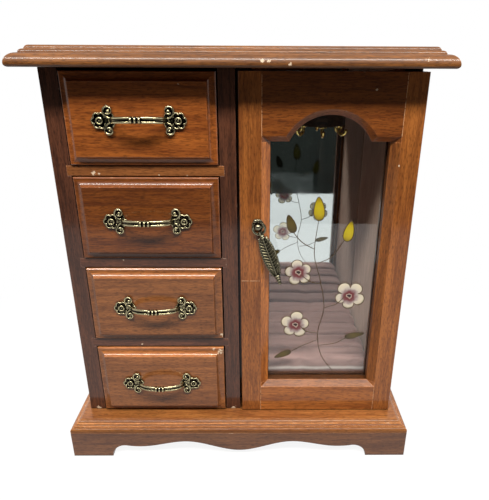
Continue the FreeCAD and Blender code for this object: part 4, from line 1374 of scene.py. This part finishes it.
def swell(pad, low, high, pitch):
    """Blows the rolls up as cloth, each inside its own strip of the box."""
    rest = [vertex.co.copy() for vertex in pad.data.vertices]
    pins = pad.vertex_groups.new(name="pins")
    held = [index for index, point in enumerate(rest) if point.z < low.z + pad_pin_height]
    pins.add(held, 1.0, "REPLACE")
    cloth = pad.modifiers.new("cloth", "CLOTH")
    cloth.settings.vertex_group_mass = "pins"
    cloth.settings.use_pressure = True
    cloth.settings.uniform_pressure_force = pad_pressure
    cloth.settings.shrink_min = pad_shrink
    cloth.settings.bending_stiffness = pad_stiffness
    cloth.settings.effector_weights.gravity = 0.0
    cloth.collision_settings.use_collision = False
    for number in range(1, pad_frames + 1):
        bpy.context.scene.frame_set(number)
    graph = bpy.context.evaluated_depsgraph_get()
    moved = [vertex.co.copy() for vertex in pad.evaluated_get(graph).data.vertices]
    pad.modifiers.remove(cloth)
    bpy.context.scene.frame_set(1)
    for vertex, start, end in zip(pad.data.vertices, rest, moved):
        step = end - start
        if step.length > pad_cap:
            step = step * (pad_cap / step.length)
        point = start + step
        roll = min(pad_rolls - 1, max(0, int((start.y - low.y) / pitch)))
        y_first = low.y + pitch * roll
        point.x = min(max(point.x, low.x), high.x)
        point.y = min(max(point.y, y_first), y_first + pitch)
        point.z = min(max(point.z, low.z), high.z)
        vertex.co = point


pad_low, pad_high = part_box("ring_pad")
pad_pitch = (pad_high.y - pad_low.y) / pad_rolls
roll_half = (pad_pitch / 2 - pad_gap) * pad_swell_start
roll_height = (pad_high.z - pad_low.z) * pad_swell_start
pad_form = Mesh()
for index in range(pad_rolls):
    y_middle = pad_low.y + pad_pitch * (index + 0.5)
    pad_form.add(*roll_points(pad_low.x + pad_end_gap, pad_high.x - pad_end_gap, y_middle, pad_low.z,
                              roll_half, roll_height))
pad = make_object("ring_rolls", pad_form, "cabinet", pad_velvet)
swell(pad, pad_low, pad_high, pad_pitch)
soften(pad)
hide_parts("ring_pad")


# Rubbed joint lines where the door's rails lap its stiles, and a scratch

def hairline(mesh, start, end):
    """A thin raised line of rubbed lacquer on the door's face, from one x and z to another."""
    start, end = [Vector((x, y_face, z)) for x, z in (start, end)]
    sideways = X if abs(end.x - start.x) < abs(end.z - start.z) else Z
    path = []
    for step in range(line_steps + 1):
        point = start.lerp(end, step / line_steps)
        sway = noise.noise(Vector((point.x, point.z, 0)) * line_fineness) * line_waver
        path.append(point + sideways * sway)
    sweep(mesh, path, line_width / 2, hair_sides)


top_rail_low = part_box("door_top_rail")[0]
foot_rail_low, foot_rail_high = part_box("door_bottom_rail")
stile_low, stile_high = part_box("door_left_stile")
y_face = stile_low.y
joints_form = Mesh()
for x in lap_places:
    hairline(joints_form, (x, stile_high.z), (x, top_rail_low.z + lap_bevel))
    hairline(joints_form, (x, foot_rail_low.z), (x, foot_rail_high.z - lap_bevel))
hairline(joints_form, (scratch_start[0], scratch_level), (scratch_start[1], scratch_level))
make_object("joint_lines", joints_form, "door",
            broken_lacquer("joint_lacquer"))


# Painted spray on the door glass

y_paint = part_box("door_glass")[0].y


def press_flat(mesh, lift, factor):
    """Presses lines that were swept along the glass to a film in front of it."""
    for point in mesh.points:
        point.y = y_paint - lift + (point.y - y_paint) * factor


def smooth_path(anchors):
    """A smooth line through x and z anchors in millimetres, on the glass."""
    points = [Vector((x * MM, y_paint, z * MM)) for x, z in anchors]
    ends = [points[0] * 2 - points[1]] + points + [points[-1] * 2 - points[-2]]
    path = []
    for index in range(1, len(ends) - 2):
        before, start, end, after = ends[index - 1:index + 3]
        slope = end - before
        bend = before * 2 - start * 5 + end * 4 - after
        twist = start * 3 - before - end * 3 + after
        for step in range(curve_steps):
            share = step / curve_steps
            path.append((start * 2 + slope * share + bend * share * share + twist * share ** 3) / 2)
    path.append(points[-1])
    return path


def tapered(count, half_width):
    """Radii of a brush line that thins at its ends."""
    first, last = stem_taper_shares
    radii = []
    for index in range(count):
        share = first + (last - first) * index / (count - 1)
        swollen = stem_end_share + (1 - stem_end_share) * math.sqrt(math.sin(math.pi * share))
        radii.append(half_width * swollen)
    return radii


def painted_shape(name, middle, outline, material, outline_material):
    """A flat painted patch and its raised outline, placed by its middle."""
    place = Vector((middle[0] * MM, y_paint, middle[1] * MM))
    edge = [Vector((x * MM, 0, z * MM)) for x, z in outline]
    points = []
    for ring in range(1, patch_rings + 1):
        share = ring / patch_rings
        lift = paint_height * (1 - patch_rim_drop_share * share ** patch_rim_power)
        points += [point * share - Y * lift for point in edge]
    points += edge
    faces = grid_faces(patch_rings + 1, len(edge), wrap_columns=True)
    close_ends(points, faces, [-Y * paint_height, Vector((0, 0, 0))], len(edge))
    form = Mesh()
    form.add(points, faces)
    patch = make_object(name, form, "door", material)
    patch.location = place
    border = Mesh()
    sweep(border, [point + place for point in edge], outline_width / 2, stroke_sides, closed=True)
    press_flat(border, paint_height * outline_lift_share, paint_height * outline_height_share / outline_width)
    make_object(name + "_outline", border, "door", outline_material)


def blossom_outline(size, turn, seed):
    """Places round a blossom, its petals a little uneven."""
    chance = random.Random(seed)
    lengths = [1 + blossom_uneven_share * chance.uniform(-1, 1) for petal in range(blossom_petals)]
    count = blossom_petals * blossom_petal_steps
    outline = []
    for index in range(count):
        angle = full_turn * index / count
        petal = blossom_petals * angle / full_turn
        bulge = abs(math.cos(math.pi * petal)) ** blossom_petal_power
        radius = size * (blossom_waist_share + (1 - blossom_waist_share) * bulge)
        radius *= lengths[int(round(petal)) % blossom_petals]
        outline.append((radius * math.cos(angle + turn), radius * math.sin(angle + turn)))
    return outline


def leaf_outline(length, width, turn):
    """Places round a pointed leaf."""
    outline = []
    for index in range(leaf_steps):
        angle = full_turn * index / leaf_steps
        along = length / 2 * math.cos(angle)
        across = width / 2 * math.sin(angle) * (1 - leaf_taper_share * math.cos(angle))
        outline.append((along * math.cos(turn) - across * math.sin(turn),
                        along * math.sin(turn) + across * math.cos(turn)))
    return outline


enamels = {name: enamel(name + "_paint", *paints[name]) for name in paints}
twig = Mesh()
for anchors in twig_lines:
    path = smooth_path(anchors)
    sweep(twig, path, tapered(len(path), stem_width / 2), stroke_sides)
press_flat(twig, paint_height, 2 * paint_height / stem_width)
make_object("painted_twig", twig, "door", enamels["stem"])
for number, (middle, size, turn, seed) in enumerate(blossoms, 1):
    outline = blossom_outline(size, turn, seed)
    painted_shape("blossom_%d" % number, middle, outline, enamels["petal"], enamels["edge"])
for name, (middle, length, width, turn, tone) in leaves.items():
    outline = leaf_outline(length, width, math.radians(turn))
    painted_shape(name, middle, outline, enamels[tone], enamels["stem"])


# Stage, light and camera

def plane(name, corners, material):
    """A flat piece of the stage."""
    form = Mesh()
    form.add(corners, [[0, 1, 2, 3]])
    piece = bpy.data.objects.new(name, form.data(name))
    bpy.context.collection.objects.link(piece)
    piece.data.materials.append(material)
    return piece


# Rays that show the stage as it is: from the camera, from gloss and through glass
seen_rays = ("Is Camera Ray", "Is Glossy Ray", "Is Transmission Ray")
look = Nodes("floor_paper")
seen = look.any_ray(*seen_rays)
floor_tones = [(level, level, level, 1.0) for level in (floor_lit_level, floor_seen_level)]
paper = look.shader("BsdfDiffuse", Color=look.mix(seen, *floor_tones))
away = look.vector_math("LENGTH", look.coordinates("Object"))
glow = look.times(seen, look.span(away, floor_glow_range, floor_glow_shares))
floor_paper = look.finish(look.blend(glow, paper, look.shader("Emission", Color=white, Strength=1.0)))
floor_corners = [(-1, -1), (1, -1), (1, 1), (-1, 1)]
plane("floor", [(x * floor_reach, y * floor_reach, 0) for x, y in floor_corners], floor_paper)

look = Nodes("dark_room")
tint = look.ramp(look.pattern("room"), noise_range, [screen(tone) for tone in card_tones])
dark_room = look.finish(look.shader("Emission", Color=tint, Strength=1.0))
card_corners = [(-1, card_foot), (1, card_foot), (1, card_height), (-1, card_height)]
card = plane("dark_card", [(x * card_half_width, -card_distance, z) for x, z in card_corners], dark_room)
card.visible_camera = False
card.visible_diffuse = False
card.visible_shadow = False

look = Nodes("studio", world=True)
soft_sky = look.shader("Background", Color=sky_colour, Strength=sky_strength)
white_sky = look.shader("Background", Color=white, Strength=1.0)
bpy.context.scene.world = look.finish(look.blend(look.any_ray(*seen_rays), soft_sky, white_sky))


def lamp(name, place, target, size, power, colour):
    """A soft box that faces a target."""
    data = bpy.data.lights.new(name, "AREA")
    data.shape = "RECTANGLE"
    data.size, data.size_y = size
    data.energy = power
    data.color = colour
    piece = bpy.data.objects.new(name, data)
    bpy.context.collection.objects.link(piece)
    piece.location = place
    piece.rotation_euler = (target - place).to_track_quat("-Z", "Y").to_euler()
    return piece


body_middle = (cad_box[0] + cad_box[1]) / 2
back_lamp = lamp("back", back_place, body_middle, back_size, back_power, back_colour)
back_lamp.visible_glossy = False
lamp("key", key_place, body_middle, key_size, key_power, key_colour)

camera_data = bpy.data.cameras.new("camera")
camera = bpy.data.objects.new("camera", camera_data)
bpy.context.collection.objects.link(camera)
bpy.context.scene.camera = camera
long_side = max(image_width, image_height)
camera_data.sensor_fit = "AUTO"
camera_data.sensor_width = sensor_width
camera_data.lens = focal_pixels / long_side * sensor_width
camera_data.shift_x = -(centre_column - image_width / 2) / long_side
camera_data.clip_start = camera_near
camera_data.clip_end = camera_far
forward = Vector((
    math.sin(camera_yaw) * math.cos(camera_pitch),
    math.cos(camera_yaw) * math.cos(camera_pitch),
    -math.sin(camera_pitch),
))
level_right = Vector((math.cos(camera_yaw), -math.sin(camera_yaw), 0))
level_down = -level_right.cross(forward)
right = level_right * math.cos(camera_roll) + level_down * math.sin(camera_roll)
down = level_down * math.cos(camera_roll) - level_right * math.sin(camera_roll)
turn = Matrix((right, -down, -forward)).transposed()
camera.matrix_world = Matrix.Translation(camera_place) @ turn.to_4x4()
bpy.context.scene.view_settings.view_transform = "Standard"

bpy.context.view_layer.update()
